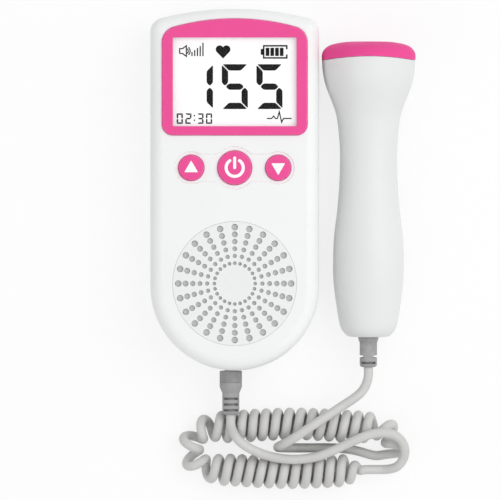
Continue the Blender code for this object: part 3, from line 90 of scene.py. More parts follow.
UNIT_WIDTH = span("rear_casing", 0)
UNIT_END = span("rear_casing", 1) / 2
OUTSIDE_Y = -UNIT_END - 4 * MM
FACE_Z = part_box("speaker_grille")[1].z
SIGN_Z = FACE_Z + 0.3 * MM
SEAM_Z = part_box("front_casing")[0].z - 0.15 * MM
PLUG_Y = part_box("front_casing")[0].y - CLEARANCE
FRAME_LOW, FRAME_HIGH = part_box("display_bezel")
GRILLE_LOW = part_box("speaker_grille")[0].z
GRILLE_Y = middle("speaker_grille").y
GRILLE_RADIUS = span("speaker_grille", 0) / 2
LCD_LOW, LCD_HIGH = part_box("lcd_panel")
BUTTON_Y = middle("power_button").y
DOOR_TOP_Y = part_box("battery_door")[1].y
DOOR_TOP_Z = 6 * MM
BAY_FOOT_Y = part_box("battery_contact_negative")[0].y - CLEARANCE
BAY_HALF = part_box("battery_right")[1].x + 1.1 * MM
HOOK_PLACES = tuple(DOOR_TOP_Y - share * (DOOR_TOP_Y - BAY_FOOT_Y) for share in (0.2, 0.75))
CASE_SCREWS = [f"case_screw_{number}" for number in range(1, 5)]


# Settings


def from_srgb(*levels):
    """A linear colour from its three 0 to 255 screen levels."""
    shares = [level / 255 for level in levels]
    return tuple(s / 12.92 if s <= 0.04045 else ((s + 0.055) / 1.055) ** 2.4 for s in shares)


def properties(make, rows, **kind):
    """Properties of one kind, from rows of each one's default and description."""
    return {
        name: make(name=name.replace("_", " ").capitalize(), description=text, default=default, **kind)
        for name, (default, text) in rows.items()
    }


def lengths(**rows):
    """Lengths, from their defaults in millimetres."""
    rows = {name: (default * MM, text) for name, (default, text) in rows.items()}
    return properties(FloatProperty, rows, unit="LENGTH", precision=5)


def shares(**rows):
    return properties(FloatProperty, rows, min=0, soft_max=1, subtype="FACTOR")


def counts(**rows):
    return properties(IntProperty, rows, min=1)


class HousingSettings(PropertyGroup):
    """Sizes of the two half shells and the battery door"""

    __annotations__ = lengths(
        top_arc=(112, "Radius of the arched top edge"),
        top_corner=(5.5, "Radius of the two upper corners"),
        front_fillet=(5, "Radius of the edge round the front face"),
        rear_fillet=(4, "Radius of the edge round the rear face"),
        wall=(2.2, "Thickness of the moulded walls"),
        seam=(0.3, "Gap between the two half shells"),
        lip=(1.5, "Height of the tongue inside the seam"),
        tongue_inset=(1, "Distance from the outside to the tongue"),
        rim_edge=(0.25, "Width of the broken edge at the seam"),
        pad_depth=(0.35, "Depth of the recess round the buttons"),
        pad_margin=(1.35, "Width of the recess round the arrow buttons"),
        pad_neck=(5.2, "Half height of the recess between two buttons"),
        bay_wall=(1.3, "Thickness of the battery bay's walls"),
        bay_ceiling=(17.1, "Height of the battery bay inside"),
        bay_corner=(2.5, "Corner radius of the battery bay"),
        well_radius=(2.6, "Radius of a screw's well"),
        well_depth=(5, "Depth of a screw's well"),
        grip_pitch=(1.8, "Distance between two grip grooves"),
        grip_length=(13, "Length of a grip groove"),
        grip_start=(5, "Distance from the door's edge to the first groove"),
        grip_width=(0.9, "Width of a grip groove"),
        grip_depth=(0.4, "Depth of a grip groove"),
    ) | counts(grip_grooves=(5, "Grooves across the battery door"))


class DisplaySettings(PropertyGroup):
    """Sizes of the display frame and of the lit figures"""

    __annotations__ = lengths(
        crest_arc=(85, "Radius of the frame's arched top"),
        top_corner=(6, "Radius of the frame's upper corners"),
        low_corner=(4.1, "Radius of the frame's lower corners"),
        edge=(0.5, "Radius of the frame's outer edge"),
        gap=(0.1, "Gap between the frame and its seat"),
        screen_width=(46, "Width of the opening"),
        screen_height=(33, "Height of the opening"),
        screen_foot=(3.4, "Height of the frame below the opening"),
        screen_corner=(0.45, "Corner radius of the opening"),
        bevel=(0.22, "Width of the opening's bevel"),
        lip=(0.6, "Thickness of the frame over the window"),
        figure_height=(16.7, "Height of the large figures"),
        figure_width=(9.7, "Width of the large figures"),
        figure_stroke=(2.35, "Thickness of a large figure's bars"),
        figure_gap=(0.28, "Gap between two bars of a figure"),
        ink_depth=(0.05, "Thickness of the dark figures"),
    ) | shares(glow=(0.3, "Strength of the light from behind the display"))


class ButtonSettings(PropertyGroup):
    """Sizes of the three buttons"""

    __annotations__ = lengths(
        power_radius=(6.36, "Radius of the middle button"),
        arrow_radius=(4.78, "Radius of the two arrow buttons"),
        gap=(0.1, "Gap between a button and its hole"),
        edge=(0.45, "Radius of a button's upper edge"),
        crown=(0.25, "Rise of a button's middle above its edge"),
        arrow_width=(5.15, "Base of an arrow"),
        arrow_height=(4.4, "Height of an arrow"),
        ring_radius=(3.19, "Middle radius of the power sign's ring"),
        ring_stroke=(1.15, "Thickness of the power sign's lines"),
        bar_top=(4.2, "Top of the power sign's bar above the middle"),
        bar_low=(-0.5, "Foot of the power sign's bar above the middle"),
    ) | shares(ring_gap=(0.19, "Share of the ring that is open at the top"))


class GrilleSettings(PropertyGroup):
    """Sizes of the speaker grille"""

    __annotations__ = lengths(
        inner_ring=(7.6, "Distance from the middle to the first hole"),
        ring_step=(2.68, "Distance between two holes of a row"),
        inner_hole=(1.35, "Diameter of the first hole"),
        hole_step=(0.216, "Growth of the holes from ring to ring"),
        edge=(0.08, "Width of the broken edge of a hole"),
        field=(0.75, "Thickness of the pierced field inside the thicker rim"),
        rim=(0.6, "Width of the thicker rim"),
        gap=(0.06, "Gap between the grille and its seat"),
    ) | counts(spokes=(24, "Rows of sound holes round the middle"), rings=(6, "Sound holes in each row"))


class ProbeSettings(PropertyGroup):
    """Sizes of the probe, along its axis from the tail"""

    __annotations__ = lengths(
        tail_place=(-54.8, "Where the tail lies along the monitor"),
        length=(110.4, "Length from the tail to the face"),
        head_radius=(17.5, "Radius of the head"),
        wall=(2, "Thickness of the probe's walls"),
        cap_length=(5, "Length of the pink cap at its middle"),
        cap_arc=(82, "Radius of the cap's arched seam"),
        seam=(0.15, "Width of the seams"),
        neck_radius=(2.6, "Radius of the gland's neck in the tail"),
        flare_radius=(3.85, "Radius of the gland's shoulder"),
        flare_length=(2.2, "Length of the gland's shoulder"),
        gland_radius=(3.25, "Radius of the gland's sleeve"),
        gland_end=(2.2, "Radius of the gland's rounded end"),
        gland_length=(11.6, "Length of the gland outside the probe"),
        gland_groove=(7.6, "Distance to the gland's first slot"),
        gland_pitch=(2.3, "Distance between the gland's two slots"),
    )


class PlugSettings(PropertyGroup):
    """Sizes of the plug, along its axis from the housing"""

    __annotations__ = lengths(
        across=(-1.5, "Distance of the plug from the middle line"),
        radius=(4.2, "Radius of the plug's head"),
        head=(6, "Length of the plug's head"),
        band=(1.6, "Length of the head's lower band"),
        taper=(2.4, "Length of the taper to the sleeve"),
        sleeve_radius=(3.2, "Radius of the sleeve"),
        sleeve_length=(8.2, "Length of the sleeve"),
        end_radius=(1.8, "Radius of the sleeve's rounded end"),
        pin_radius=(1.75, "Radius of the metal pin"),
        pin_length=(9, "Length of the metal pin"),
        rib_start=(2.05, "Distance from the taper to the first slot"),
        rib_pitch=(2.15, "Distance between two slots"),
        groove=(0.9, "Width of a slot"),
        groove_depth=(1.3, "Depth of a slot"),
        groove_reach=(2.65, "Half length of a slot"),
    ) | counts(ribs=(3, "Slots across the sleeve"))


class CordSettings(PropertyGroup):
    """Sizes of the cord and its curls"""

    __annotations__ = lengths(
        diameter=(3.5, "Diameter of the cord"),
        curl_radius=(4.5, "Radius of a curl's middle line on the two runs"),
        turn_curl_radius=(3.35, "Radius of a curl's middle line at the turns"),
        curl_pitch=(4.17, "Distance between two curls"),
        coil_foot=(1.8, "Height of the curls' lowest middle line"),
        coil_middle=(-97.1, "Middle line between the two runs"),
        left_turn=(-8.6, "Middle of the coil's left turn"),
        right_turn=(52.4, "Middle of the coil's right turn"),
        turn_radius=(8, "Radius of the coil's turns"),
        bow=(1.2, "Outward bow of the two runs"),
        ramp=(8, "Length over which the straight cord opens into curls"),
        step=(0.25, "Step along the coil's line"),
    ) | shares(
        looser=(0.3, "Extra pitch of the opening curls"),
        turn_room=(0.04, "Extra pitch at the turns"),
        bend_lead=(1.5, "How early the curls spread before a turn"),
    ) | counts(
        curl_points=(24, "Points of one curl"),
        smoothing=(45, "Steps over which the coil's bend is evened out"),
    ) | properties(FloatProperty, {"end_turn": (-0.45, "Where the curls end on the right turn")}, subtype="ANGLE")


class Colours(PropertyGroup):
    """Base colours"""

    __annotations__ = properties(FloatVectorProperty, {
        "casing": (from_srgb(240, 241, 241), "White moulded housing"),
        "probe": (from_srgb(227, 228, 228), "Slightly greyer white of the probe"),
        "pink": (from_srgb(235, 81, 151), "Display frame, buttons and probe cap"),
        "grille": (from_srgb(234, 236, 235), "Disc of the speaker grille"),
        "sign": (from_srgb(250, 250, 250), "White signs on the buttons"),
        "cord": (from_srgb(205, 205, 204), "Curly cord"),
        "rubber": (from_srgb(160, 160, 160), "Sleeves of the plug and of the gland"),
        "plug_head": (from_srgb(146, 146, 146), "Darker head of the plug"),
        "cloth": (from_srgb(193, 196, 195), "Woven cloth behind the sound holes"),
        "screen": (from_srgb(252, 252, 252), "Lit display"),
        "ink": (from_srgb(24, 24, 26), "Dark display figures"),
        "floor": (from_srgb(246, 246, 246), "Table top"),
    }, min=0, max=1, subtype="COLOR")


class StageSettings(PropertyGroup):
    """Camera and lamps"""

    __annotations__ = lengths(
        view_across=(5.7, "Where the camera's line meets the table, across"),
        view_along=(-22.5, "Where the camera's line meets the table, along"),
        view_width=(186.5, "Width that the picture covers at the subject"),
        subject_height=(24, "Height at which that width is measured"),
    ) | shares(
        sky=(0.62, "Strength of the even light from all round"),
        floor_lift=(0.8, "How far the table is lifted to white in the picture"),
    ) | properties(FloatProperty, {
        "key_power": (8.5, "Power of the large soft lamp"),
        "fill_power": (2.0, "Power of the fill lamp"),
    }, unit="POWER") | properties(FloatProperty, {
        "lens": (400, "Focal length in millimetres, long for a flat view"),
    })


GROUPS = {
    "doppler_housing": HousingSettings,
    "doppler_display": DisplaySettings,
    "doppler_buttons": ButtonSettings,
    "doppler_grille": GrilleSettings,
    "doppler_probe": ProbeSettings,
    "doppler_plug": PlugSettings,
    "doppler_cord": CordSettings,
    "doppler_colours": Colours,
    "doppler_stage": StageSettings,
}

# The probe's turned outline: share of its length from the tail, share of the head's radius
PROBE_OUTLINE = (
    (0.0, 0.42), (0.006, 0.49), (0.02, 0.565), (0.043, 0.62), (0.084, 0.666), (0.15, 0.725),
    (0.206, 0.755), (0.28, 0.755), (0.34, 0.737), (0.408, 0.685), (0.48, 0.642), (0.55, 0.617),
    (0.64, 0.615), (0.7, 0.646), (0.75, 0.69), (0.8, 0.795), (0.85, 0.915), (0.896, 0.979),
    (0.936, 1.0), (0.957, 1.0), (0.971, 0.962), (0.984, 0.874), (0.994, 0.69), (1.0, 0.35),
)

# The leads' routes, in millimetres
UNIT_LEAD_POINTS = (
    (0.6, -92.8, 14.5), (5.0, -96.5, 14.0), (10.4, -99.0, 13.3), (16.6, -100.6, 13.0),
    (24.0, -101.0, 13.0), (32.0, -99.6, 13.2), (40.0, -96.2, 13.8), (46.4, -93.2, 14.4),
    (51.4, -91.5, 14.6), (56.2, -91.0, 14.5), (60.1, -92.0, 14.1), (62.8, -94.6, 13.4),
    (63.8, -98.1, 12.2), (62.8, -101.7, 10.5), (60.3, -104.2, 8.6),
)
PROBE_LEAD_POINTS = (
    (47.5, -98.6, 1.8), (42.0, -97.5, 1.8), (36.0, -97.1, 1.8), (29.0, -97.1, 1.8),
    (23.6, -97.1, 1.9), (18.9, -97.0, 3.8), (16.3, -96.7, 8.2), (17.0, -95.9, 13.2),
    (20.6, -93.8, 16.9), (25.8, -90.4, 17.8), (30.8, -87.1, 16.6), (36.0, -83.8, 14.9),
    (40.6, -80.8, 13.4), (44.9, -78.0, 12.2), (48.4, -74.6, 11.0),
)


def settings(group):
    return getattr(bpy.context.scene, "doppler_" + group)


# Modelling moves


def take(piece=None):
    """Makes the piece the only selected object, or leaves none selected."""
    if bpy.context.mode != "OBJECT":
        bpy.ops.object.mode_set(mode="OBJECT")
    bpy.ops.object.select_all(action="DESELECT")
    if piece:
        piece.select_set(True)
        bpy.context.view_layer.objects.active = piece


def edit(piece):
    take(piece)
    bpy.ops.object.mode_set(mode="EDIT")
    bpy.ops.mesh.select_mode(type="VERT")
    bpy.ops.mesh.select_all(action="SELECT")


def leave_edit(piece):
    bpy.ops.object.mode_set(mode="OBJECT")
    return piece


def weld():
    bpy.ops.mesh.select_all(action="SELECT")
    bpy.ops.mesh.remove_doubles(threshold=WELD)


class Pen:
    """Draws an outline as by hand, one extruded or spun point after another.

    It draws seen from above at a height, or upright in the XZ plane for a turned piece.
    """

    def __init__(self, name, start, height=0.0, upright=False):
        self.height, self.upright = height, upright
        self.start = self.at = start
        take()
        bpy.ops.mesh.primitive_plane_add(size=MM, location=self.place(start))
        self.piece = bpy.context.object
        self.piece.name = self.piece.data.name = name
        bpy.ops.object.transform_apply()
        edit(self.piece)
        bpy.ops.mesh.merge(type="CENTER")

    def place(self, point):
        across, up = point
        return Vector((across, 0, up)) if self.upright else Vector((across, up, self.height))

    def to(self, *points):
        for point in points:
            step = self.place(point) - self.place(self.at)
            bpy.ops.mesh.extrude_region_move(TRANSFORM_OT_translate={"value": step})
            self.at = point
        return self

    def turn(self, centre, angle, steps=None):
        """An arc about a centre, anticlockwise for a positive angle."""
        steps = steps or max(2, math.ceil(abs(angle) / ARC_STEP))
        axis = (0, -1, 0) if self.upright else (0, 0, 1)
        bpy.ops.mesh.spin(steps=steps, angle=-angle, center=self.place(centre), axis=axis)
        arm = Matrix.Rotation(angle, 2) @ Vector((self.at[0] - centre[0], self.at[1] - centre[1]))
        self.at = (centre[0] + arm.x, centre[1] + arm.y)
        return self

    def join_up(self):
        if math.dist(self.at, self.start) > WELD:
            self.to(self.start)
        weld()

    def fill(self):
        """Closes the outline and fills it with one face."""
        self.join_up()
        bpy.ops.mesh.edge_face_add()
        leave_edit(self.piece)
        if len(self.piece.data.polygons) != 1:
            raise RuntimeError(f"the outline of {self.piece.name} did not close")
        return self.piece

    def lathe(self, segments, closed=False):
        """Turns the drawn profile about the Z axis into a closed piece."""
        if closed:
            self.join_up()
        bpy.ops.mesh.select_all(action="SELECT")
        bpy.ops.mesh.spin(steps=segments, angle=2 * math.pi, center=(0, 0, 0), axis=(0, 0, 1))
        weld()
        bpy.ops.mesh.normals_make_consistent(inside=False)
        return leave_edit(self.piece)


def pull(piece, up, along=0.0):
    """Extrudes a filled outline up, or along Y, into a closed slab."""
    edit(piece)
    bpy.ops.mesh.extrude_region_move(TRANSFORM_OT_translate={"value": (0, along, up)})
    bpy.ops.mesh.select_all(action="SELECT")
    bpy.ops.mesh.normals_make_consistent(inside=False)
    return leave_edit(piece)


def pick(piece, kind, test):
    """Enters edit mode and selects only the edges or faces that pass the test."""
    edit(piece)
    bpy.ops.mesh.select_mode(type=kind)
    bpy.ops.mesh.select_all(action="DESELECT")
    mesh = bmesh.from_edit_mesh(piece.data)
    for item in mesh.edges if kind == "EDGE" else mesh.faces:
        if test(item):
            item.select_set(True)
    bmesh.update_edit_mesh(piece.data)


def at_height(z):
    """A test for edges and faces that lie flat at a height."""
    return lambda item: all(abs(corner.co.z - z) < WELD for corner in item.verts)


def round_edges(piece, test, width, segments=3):
    pick(piece, "EDGE", test)
    bpy.ops.mesh.bevel(
        offset=width, offset_type="OFFSET", segments=segments, profile=0.5, affect="EDGES", clamp_overlap=False
    )
    return leave_edit(piece)


def round_corners(piece, width, segments=3):
    """Rounds every corner of a flat outline."""
    edit(piece)
    bpy.ops.mesh.bevel(offset=width, segments=segments, affect="VERTICES", clamp_overlap=False)
    return leave_edit(piece)


def open_face(piece, test):
    pick(piece, "FACE", test)
    bpy.ops.mesh.delete(type="FACE")
    return leave_edit(piece)


def modify(piece, kind, **choices):
    """Gives the piece a modifier and applies it."""
    modifier = piece.modifiers.new(kind.title(), kind)
    for name, value in choices.items():
        setattr(modifier, name, value)
    take(piece)
    bpy.ops.object.modifier_apply(modifier=modifier.name)
    return piece


def thicken(piece, wall, offset=-1):
    """Gives an open skin a wall on its inner side, or another side."""
    return modify(piece, "SOLIDIFY", thickness=wall, offset=offset, use_even_offset=True)


def combine(piece, tool, operation):
    modify(piece, "BOOLEAN", operation=operation, solver="EXACT", object=tool)
    bpy.data.objects.remove(tool, do_unlink=True)
    return piece


def cut(piece, *tools):
    for tool in tools:
        combine(piece, tool, "DIFFERENCE")
    return piece


def join(name, pieces):
    take(pieces[0])
    for piece in pieces:
        piece.select_set(True)
    bpy.ops.object.join()
    joined = bpy.context.object
    joined.name = joined.data.name = name
    return joined


def set_in_place(piece, matrix):
    take(piece)
    piece.matrix_world = matrix
    bpy.ops.object.transform_apply(location=True, rotation=True, scale=True)
    return piece


def move(piece, x=0.0, y=0.0, z=0.0):
    return set_in_place(piece, Matrix.Translation((x, y, z)))


def shade(piece, angle=30):
    """Smooth shading that keeps flat faces flat and creases sharp."""
    take(piece)
    bpy.ops.object.shade_smooth_by_angle(angle=math.radians(angle))
    return modify(piece, "WEIGHTED_NORMAL", keep_sharp=True)


def mark_edges(piece):
    """Marks each face that lies along a tight outer edge, by how tight it is, from 0 to 1."""
    work = bmesh.new()
    work.from_mesh(piece.data)
    marks = []
    for face in work.faces:
        breadth = face.calc_area() / max(edge.calc_length() for edge in face.edges)
        turns = [edge.calc_face_angle_signed(0) for edge in face.edges if len(edge.link_faces) == 2]
        bend = max([0, *turns]) / max(breadth, WELD) * MM
        marks.append(min(max((bend - 0.6) / 1.4, 0), 1))
    work.free()
    piece.data.attributes.new("edge", "FLOAT", "FACE").data.foreach_set("value", marks)


def finish(piece, material, slot, *stands_for, body="monitor"):
    """Paints the piece, hangs it on its body and hides the parts of the frame that it stands for."""
    if piece.type == "MESH":
        mark_edges(piece)
    piece.data.materials.clear()
    piece.data.materials.append(paint(material))
    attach(piece, body)
    if stands_for:
        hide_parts(*stands_for)


# Outlines and plain forms


def arched(name, low_y, crest_y, width, arc, top_corner, low_corner, height, inset=0.0):
    """A filled outline with an arched top, straight sides and round lower corners."""
    half = width / 2 - inset
    low = low_corner - inset
    top = max(top_corner - inset, 0.3 * MM)
    arc_y = crest_y - arc
    corner_y = arc_y + math.sqrt((arc - inset - top) ** 2 - (half - top) ** 2)
    turn = math.atan2(corner_y - arc_y, half - top)
    low_centre = low_y + inset + low
    pen = Pen(name, (half - low, low_y + inset), height).turn((half - low, low_centre), QUARTER)
    pen.to((half, corner_y)).turn((half - top, corner_y), turn).turn((0, arc_y), math.pi - 2 * turn, 48)
    pen.turn((-half + top, corner_y), turn).to((-half, low_centre)).turn((-half + low, low_centre), QUARTER)
    return pen.fill()


def unit_outline(name, height, inset=0.0):
    sizes = settings("housing")
    return arched(
        name, -UNIT_END, UNIT_END, UNIT_WIDTH, sizes.top_arc, sizes.top_corner, UNIT_WIDTH / 2, height, inset
    )


def frame_outline(name, height, inset=0.0):
    sizes = settings("display")
    return arched(
        name, FRAME_LOW.y, FRAME_HIGH.y, FRAME_HIGH.x - FRAME_LOW.x, sizes.crest_arc, sizes.top_corner,
        sizes.low_corner, height, inset
    )


def block(name, x, y, corner, low, rise):
    """A block from its two spans, with round upright edges."""
    pen = Pen(name, (x[0] + corner, y[0]), low)
    pen.to((x[1] - corner, y[0])).turn((x[1] - corner, y[0] + corner), QUARTER)
    pen.to((x[1], y[1] - corner)).turn((x[1] - corner, y[1] - corner), QUARTER)
    pen.to((x[0] + corner, y[1])).turn((x[0] + corner, y[1] - corner), QUARTER)
    pen.to((x[0], y[0] + corner)).turn((x[0] + corner, y[0] + corner), QUARTER)
    return pull(pen.fill(), rise)


def profile(name, *points):
    return Pen(name, points[0], upright=True).to(*points[1:])


def rod(name, radius, low, high, segments):
    return profile(name, (0, low), (radius, low), (radius, high), (0, high)).lathe(segments)


# Finishes


def rgba(levels):
    return (*levels, 1)


def screen_rgba(*levels):
    return rgba(from_srgb(*levels))


class Web:
    """Adds nodes to a tree. An input that is given a socket is linked to it, and any other is set."""

    def __init__(self, tree):
        self.tree = tree

    def add(self, kind, inputs=None, **choices):
        node = self.tree.nodes.new("ShaderNode" + kind)
        for name, value in choices.items():
            setattr(node, name, value)
        self.feed(node.inputs, inputs or {})
        return node

    def feed(self, sockets, values):
        for name, value in values.items():
            if isinstance(value, bpy.types.NodeSocket):
                self.tree.links.new(value, sockets[name])
            else:
                sockets[name].default_value = value

    def maths(self, operation, first, second=0.0):
        return self.add("Math", {0: first, 1: second}, operation=operation).outputs[0]

    def between(self, value, low, high, first=0.0, last=1.0):
        """Turns low to high into first to last, and stays within them."""
        limits = {"Value": value, "From Min": low, "From Max": high, "To Min": first, "To Max": last}
        return self.add("MapRange", limits).outputs["Result"]

    def place(self, stretch=None):
        """Object coordinates, stretched along each axis where that is asked for."""
        place = self.add("TexCoord").outputs["Object"]
        return self.add("Mapping", {"Vector": place, "Scale": stretch}).outputs["Vector"] if stretch else place

    def seen(self):
        """1 where the eye, a reflection or a clear piece shows the surface, and 0 where it only lights others."""
        path = self.add("LightPath").outputs
        either = self.maths("MAXIMUM", path["Is Camera Ray"], path["Is Glossy Ray"])
        return self.maths("MAXIMUM", either, path["Is Transmission Ray"])

    def noise(self, place, size, detail=2.0):
        scale = self.maths("DIVIDE", 1.0, size)
        return self.add("TexNoise", {"Vector": place, "Scale": scale, "Detail": detail}).outputs["Fac"]

    def waves(self, place, scale):
        """Even waves along X and along Y."""
        inputs = {"Vector": place, "Scale": scale}
        return [self.add("TexWave", inputs, bands_direction=axis).outputs["Fac"] for axis in "XY"]

    def blend(self, share, first, second):
        return self.add("Mix", {0: share, 6: first, 7: second}, data_type="RGBA").outputs[2]

    def effect(self, build, inputs):
        """Places an effect's node group, built on its first use."""
        node = self.add("Group", node_tree=bpy.data.node_groups.get(build.__name__) or new_effect(build))
        self.feed(node.inputs, inputs)
        return node.outputs

    def surface(self, inputs, height=None, relief=0.0):
        """Feeds the material's shader, and bumps it where a height is given."""
        if height is not None:
            bump = self.add("Bump", {"Strength": 1.0, "Distance": relief, "Height": height})
            inputs["Normal"] = bump.outputs["Normal"]
        self.feed(self.tree.nodes["Principled BSDF"].inputs, inputs)


def moulded_grain(web, given):
    """The fine texture of a moulded surface, and slow patches over it."""
    place = web.place()
    return {
        "Height": web.noise(place, given["Grain Size"], 3.0),
        "Patches": web.between(web.noise(place, given["Patch Size"], 4.0), 0.32, 0.68),
    }


def handling(web, given):
    """A colour and a gloss that change a little from patch to patch, as hands leave them."""
    share = web.maths("MULTIPLY", given["Patches"], given["Tint Share"])
    change = web.maths("MULTIPLY", web.maths("SUBTRACT", given["Patches"], 0.5), given["Spread"])
    return {
        "Colour": web.blend(share, given["Colour"], given["Tint"]),
        "Roughness": web.maths("ADD", given["Roughness"], change),
    }


def edge_wear(web, given):
    """Edges rubbed smoother and a little lighter, where the piece's own edge attribute marks them."""
    edge = web.add("Attribute", attribute_name="edge").outputs["Fac"]
    broken = web.between(web.noise(web.place(), 1.6 * MM, 3.0), 0.35, 0.6)
    worn = web.maths("MULTIPLY", web.maths("MULTIPLY", edge, broken), given["Amount"])
    rubbed = web.maths("MULTIPLY", web.maths("SUBTRACT", given["Worn Roughness"], given["Roughness"]), worn)
    return {
        "Colour": web.blend(worn, given["Colour"], given["Worn Colour"]),
        "Roughness": web.maths("ADD", given["Roughness"], rubbed),
    }


def fine_scratches(web, given):
    """Hair-fine marks that run one way, with the change of tone that they bring."""
    marks = web.noise(web.place((1.0, 0.06, 1.0)), given["Width"], 2.0)
    patches = web.noise(web.place(), given["Patch Size"], 3.0)
    return {"Height": marks, "Tone": web.between(web.maths("ADD", marks, patches), 0.7, 1.3)}


WHITE = (1.0, 1.0, 1.0, 1.0)

# Each effect's inputs with their defaults, and its outputs
EFFECTS = {
    moulded_grain: ({"Grain Size": 0.3 * MM, "Patch Size": 18 * MM}, ("Height", "Patches")),
    handling: (
        {"Colour": WHITE, "Tint": WHITE, "Tint Share": 0.3, "Patches": 0.5, "Roughness": 0.5, "Spread": 0.1},
        ("Colour", "Roughness"),
    ),
    edge_wear: (
        {"Colour": WHITE, "Worn Colour": WHITE, "Roughness": 0.5, "Worn Roughness": 0.3, "Amount": 0.5},
        ("Colour", "Roughness"),
    ),
    fine_scratches: ({"Width": 0.06 * MM, "Patch Size": 3 * MM}, ("Height", "Tone")),
}


def new_effect(build):
    """A node group with its named inputs and outputs, filled by the effect's own function."""
    inputs, outputs = EFFECTS[build]
    tree = bpy.data.node_groups.new(build.__name__, "ShaderNodeTree")
    for label, value in inputs.items():
        kind = "NodeSocketColor" if value == WHITE else "NodeSocketFloat"
        tree.interface.new_socket(label, in_out="INPUT", socket_type=kind).default_value = value
    for label in outputs:
        kind = "NodeSocketColor" if label == "Colour" else "NodeSocketFloat"
        tree.interface.new_socket(label, in_out="OUTPUT", socket_type=kind)
    given, put = tree.nodes.new("NodeGroupInput").outputs, tree.nodes.new("NodeGroupOutput").inputs
    web = Web(tree)
    web.feed(put, build(web, given))
    return tree


# Plastic, rubber and paper: base colour or its setting, tint and roughness, then in millimetres the grain,
# the patches and the relief, then the spread of the gloss, the tint's share, the wear and the shine
MOULDED = {
    "casing_plastic": ("casing", (234, 236, 236), 0.42, 0.3, 18, 0.008, 0.08, 0.4, 0.5, 0.25),
    "grille_plastic": ("grille", (228, 230, 229), 0.5, 0.3, 18, 0.008, 0.08, 0.4, 0.5, 0.25),
    "probe_plastic": ("probe", (221, 222, 222), 0.4, 0.3, 18, 0.008, 0.08, 0.4, 0.5, 0.3),
    "pink_moulding": ("pink", (229, 77, 147), 0.36, 0.25, 12, 0.005, 0.1, 0.45, 0.5, 0.2),
    "cap_moulding": ("pink", (229, 77, 147), 0.5, 0.25, 12, 0.005, 0.1, 0.45, 0.5, 0.04),
    "sign_white": ("sign", (243, 243, 243), 0.45, 0.2, 2, 0.008, 0.08, 0.4, 0.5, 0.5),
    "figure_ink": ("ink", (34, 34, 37), 0.6, 0.15, 4, 0.008, 0.08, 0.4, 0.0, 0.1),
    "sleeve_rubber": ("rubber", (142, 142, 141), 0.62, 0.35, 5, 0.02, 0.12, 0.6, 0.4, 0.3),
    "head_rubber": ("plug_head", (134, 134, 133), 0.6, 0.35, 5, 0.02, 0.12, 0.6, 0.4, 0.3),
    "cord_jacket": ("cord", (192, 191, 188), 0.5, 0.4, 9, 0.015, 0.14, 0.6, 0.0, 0.4),
    "dark_moulding": ((44, 44, 46), (56, 56, 58), 0.5, 0.3, 6, 0.008, 0.08, 0.4, 0.5, 0.5),
    "pale_moulding": ((222, 222, 217), (210, 209, 202), 0.5, 0.3, 4, 0.008, 0.08, 0.4, 0.5, 0.5),
    "cast_epoxy": ((136, 128, 122), (110, 102, 96), 0.7, 0.5, 3, 0.06, 0.15, 0.8, 0.0, 0.5),
    "sintered_magnet": ((78, 78, 80), (58, 58, 60), 0.55, 0.4, 4, 0.03, 0.15, 0.8, 0.6, 0.5),
    "pressed_paper": ((62, 61, 60), (80, 78, 75), 0.85, 0.9, 3, 0.08, 0.1, 0.8, 0.0, 0.2),
}

# Bare metal: bright and dull colour, roughness, width of the marks and relief in millimetres, metallic
METALS = {
    "plated_steel": ((206, 206, 203), (182, 182, 178), 0.3, 0.06, 0.004, 1.0),
    "screw_steel": ((196, 196, 193), (158, 157, 152), 0.36, 0.1, 0.004, 1.0),
    "silvered_face": ((226, 221, 205), (198, 190, 170), 0.42, 0.25, 0.01, 0.8),
}


def moulded(web, base, tint, roughness, grain, patch, relief, spread, tint_share, worn, shine):
    """A moulded plastic or rubber: fine grain, patches of handling, and edges polished by use."""
    base = getattr(settings("colours"), base) if isinstance(base, str) else from_srgb(*base)
    texture = web.effect(moulded_grain, {"Grain Size": grain * MM, "Patch Size": patch * MM})
    handled = web.effect(handling, {
        "Colour": rgba(base), "Tint": screen_rgba(*tint), "Tint Share": tint_share, "Patches": texture["Patches"],
        "Roughness": roughness, "Spread": spread,
    })
    edged = web.effect(edge_wear, {
        "Colour": handled["Colour"], "Worn Colour": rgba([1 - 0.9 * (1 - level) for level in base]),
        "Roughness": handled["Roughness"], "Worn Roughness": 0.6 * roughness, "Amount": worn,
    })
    inputs = {"Base Color": edged["Colour"], "Roughness": edged["Roughness"], "Specular IOR Level": shine}
    web.surface(inputs, texture["Height"], relief * MM)


def metal(web, bright, dull, roughness, width, relief, metallic):
    """A metal face with fine marks and patches that are duller."""
    marks = web.effect(fine_scratches, {"Width": width * MM, "Patch Size": 3 * MM})
    web.surface({
        "Base Color": web.blend(marks["Tone"], screen_rgba(*bright), screen_rgba(*dull)),
        "Roughness": web.between(marks["Tone"], 0.0, 1.0, 0.8 * roughness, 1.25 * roughness),
        "Metallic": metallic,
    }, marks["Height"], relief * MM)


def battery_sleeve(web, start, end):
    """A dark sleeve with no words: a copper band at one end of the cell, and a fine metal flake."""
    marks = web.effect(fine_scratches, {"Width": 0.12 * MM, "Patch Size": 2 * MM})
    band = web.between(web.add("SeparateXYZ", {"Vector": web.place()}).outputs["Y"], start, end)
    sleeve = web.blend(marks["Tone"], screen_rgba(46, 52, 62), screen_rgba(38, 42, 50))
    copper = web.blend(marks["Tone"], screen_rgba(196, 132, 92), screen_rgba(176, 112, 74))
    roughness = web.between(marks["Tone"], 0.0, 1.0, 0.3, 0.42)
    inputs = {"Base Color": web.blend(band, sleeve, copper), "Roughness": roughness, "Metallic": 0.6}
    web.surface(inputs, marks["Height"], 0.003 * MM)


def left_sleeve(web):
    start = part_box("battery_left")[1].y - 9 * MM
    battery_sleeve(web, start, start + 0.3 * MM)


def right_sleeve(web):
    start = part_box("battery_right")[0].y + 9 * MM
    battery_sleeve(web, start, start - 0.3 * MM)


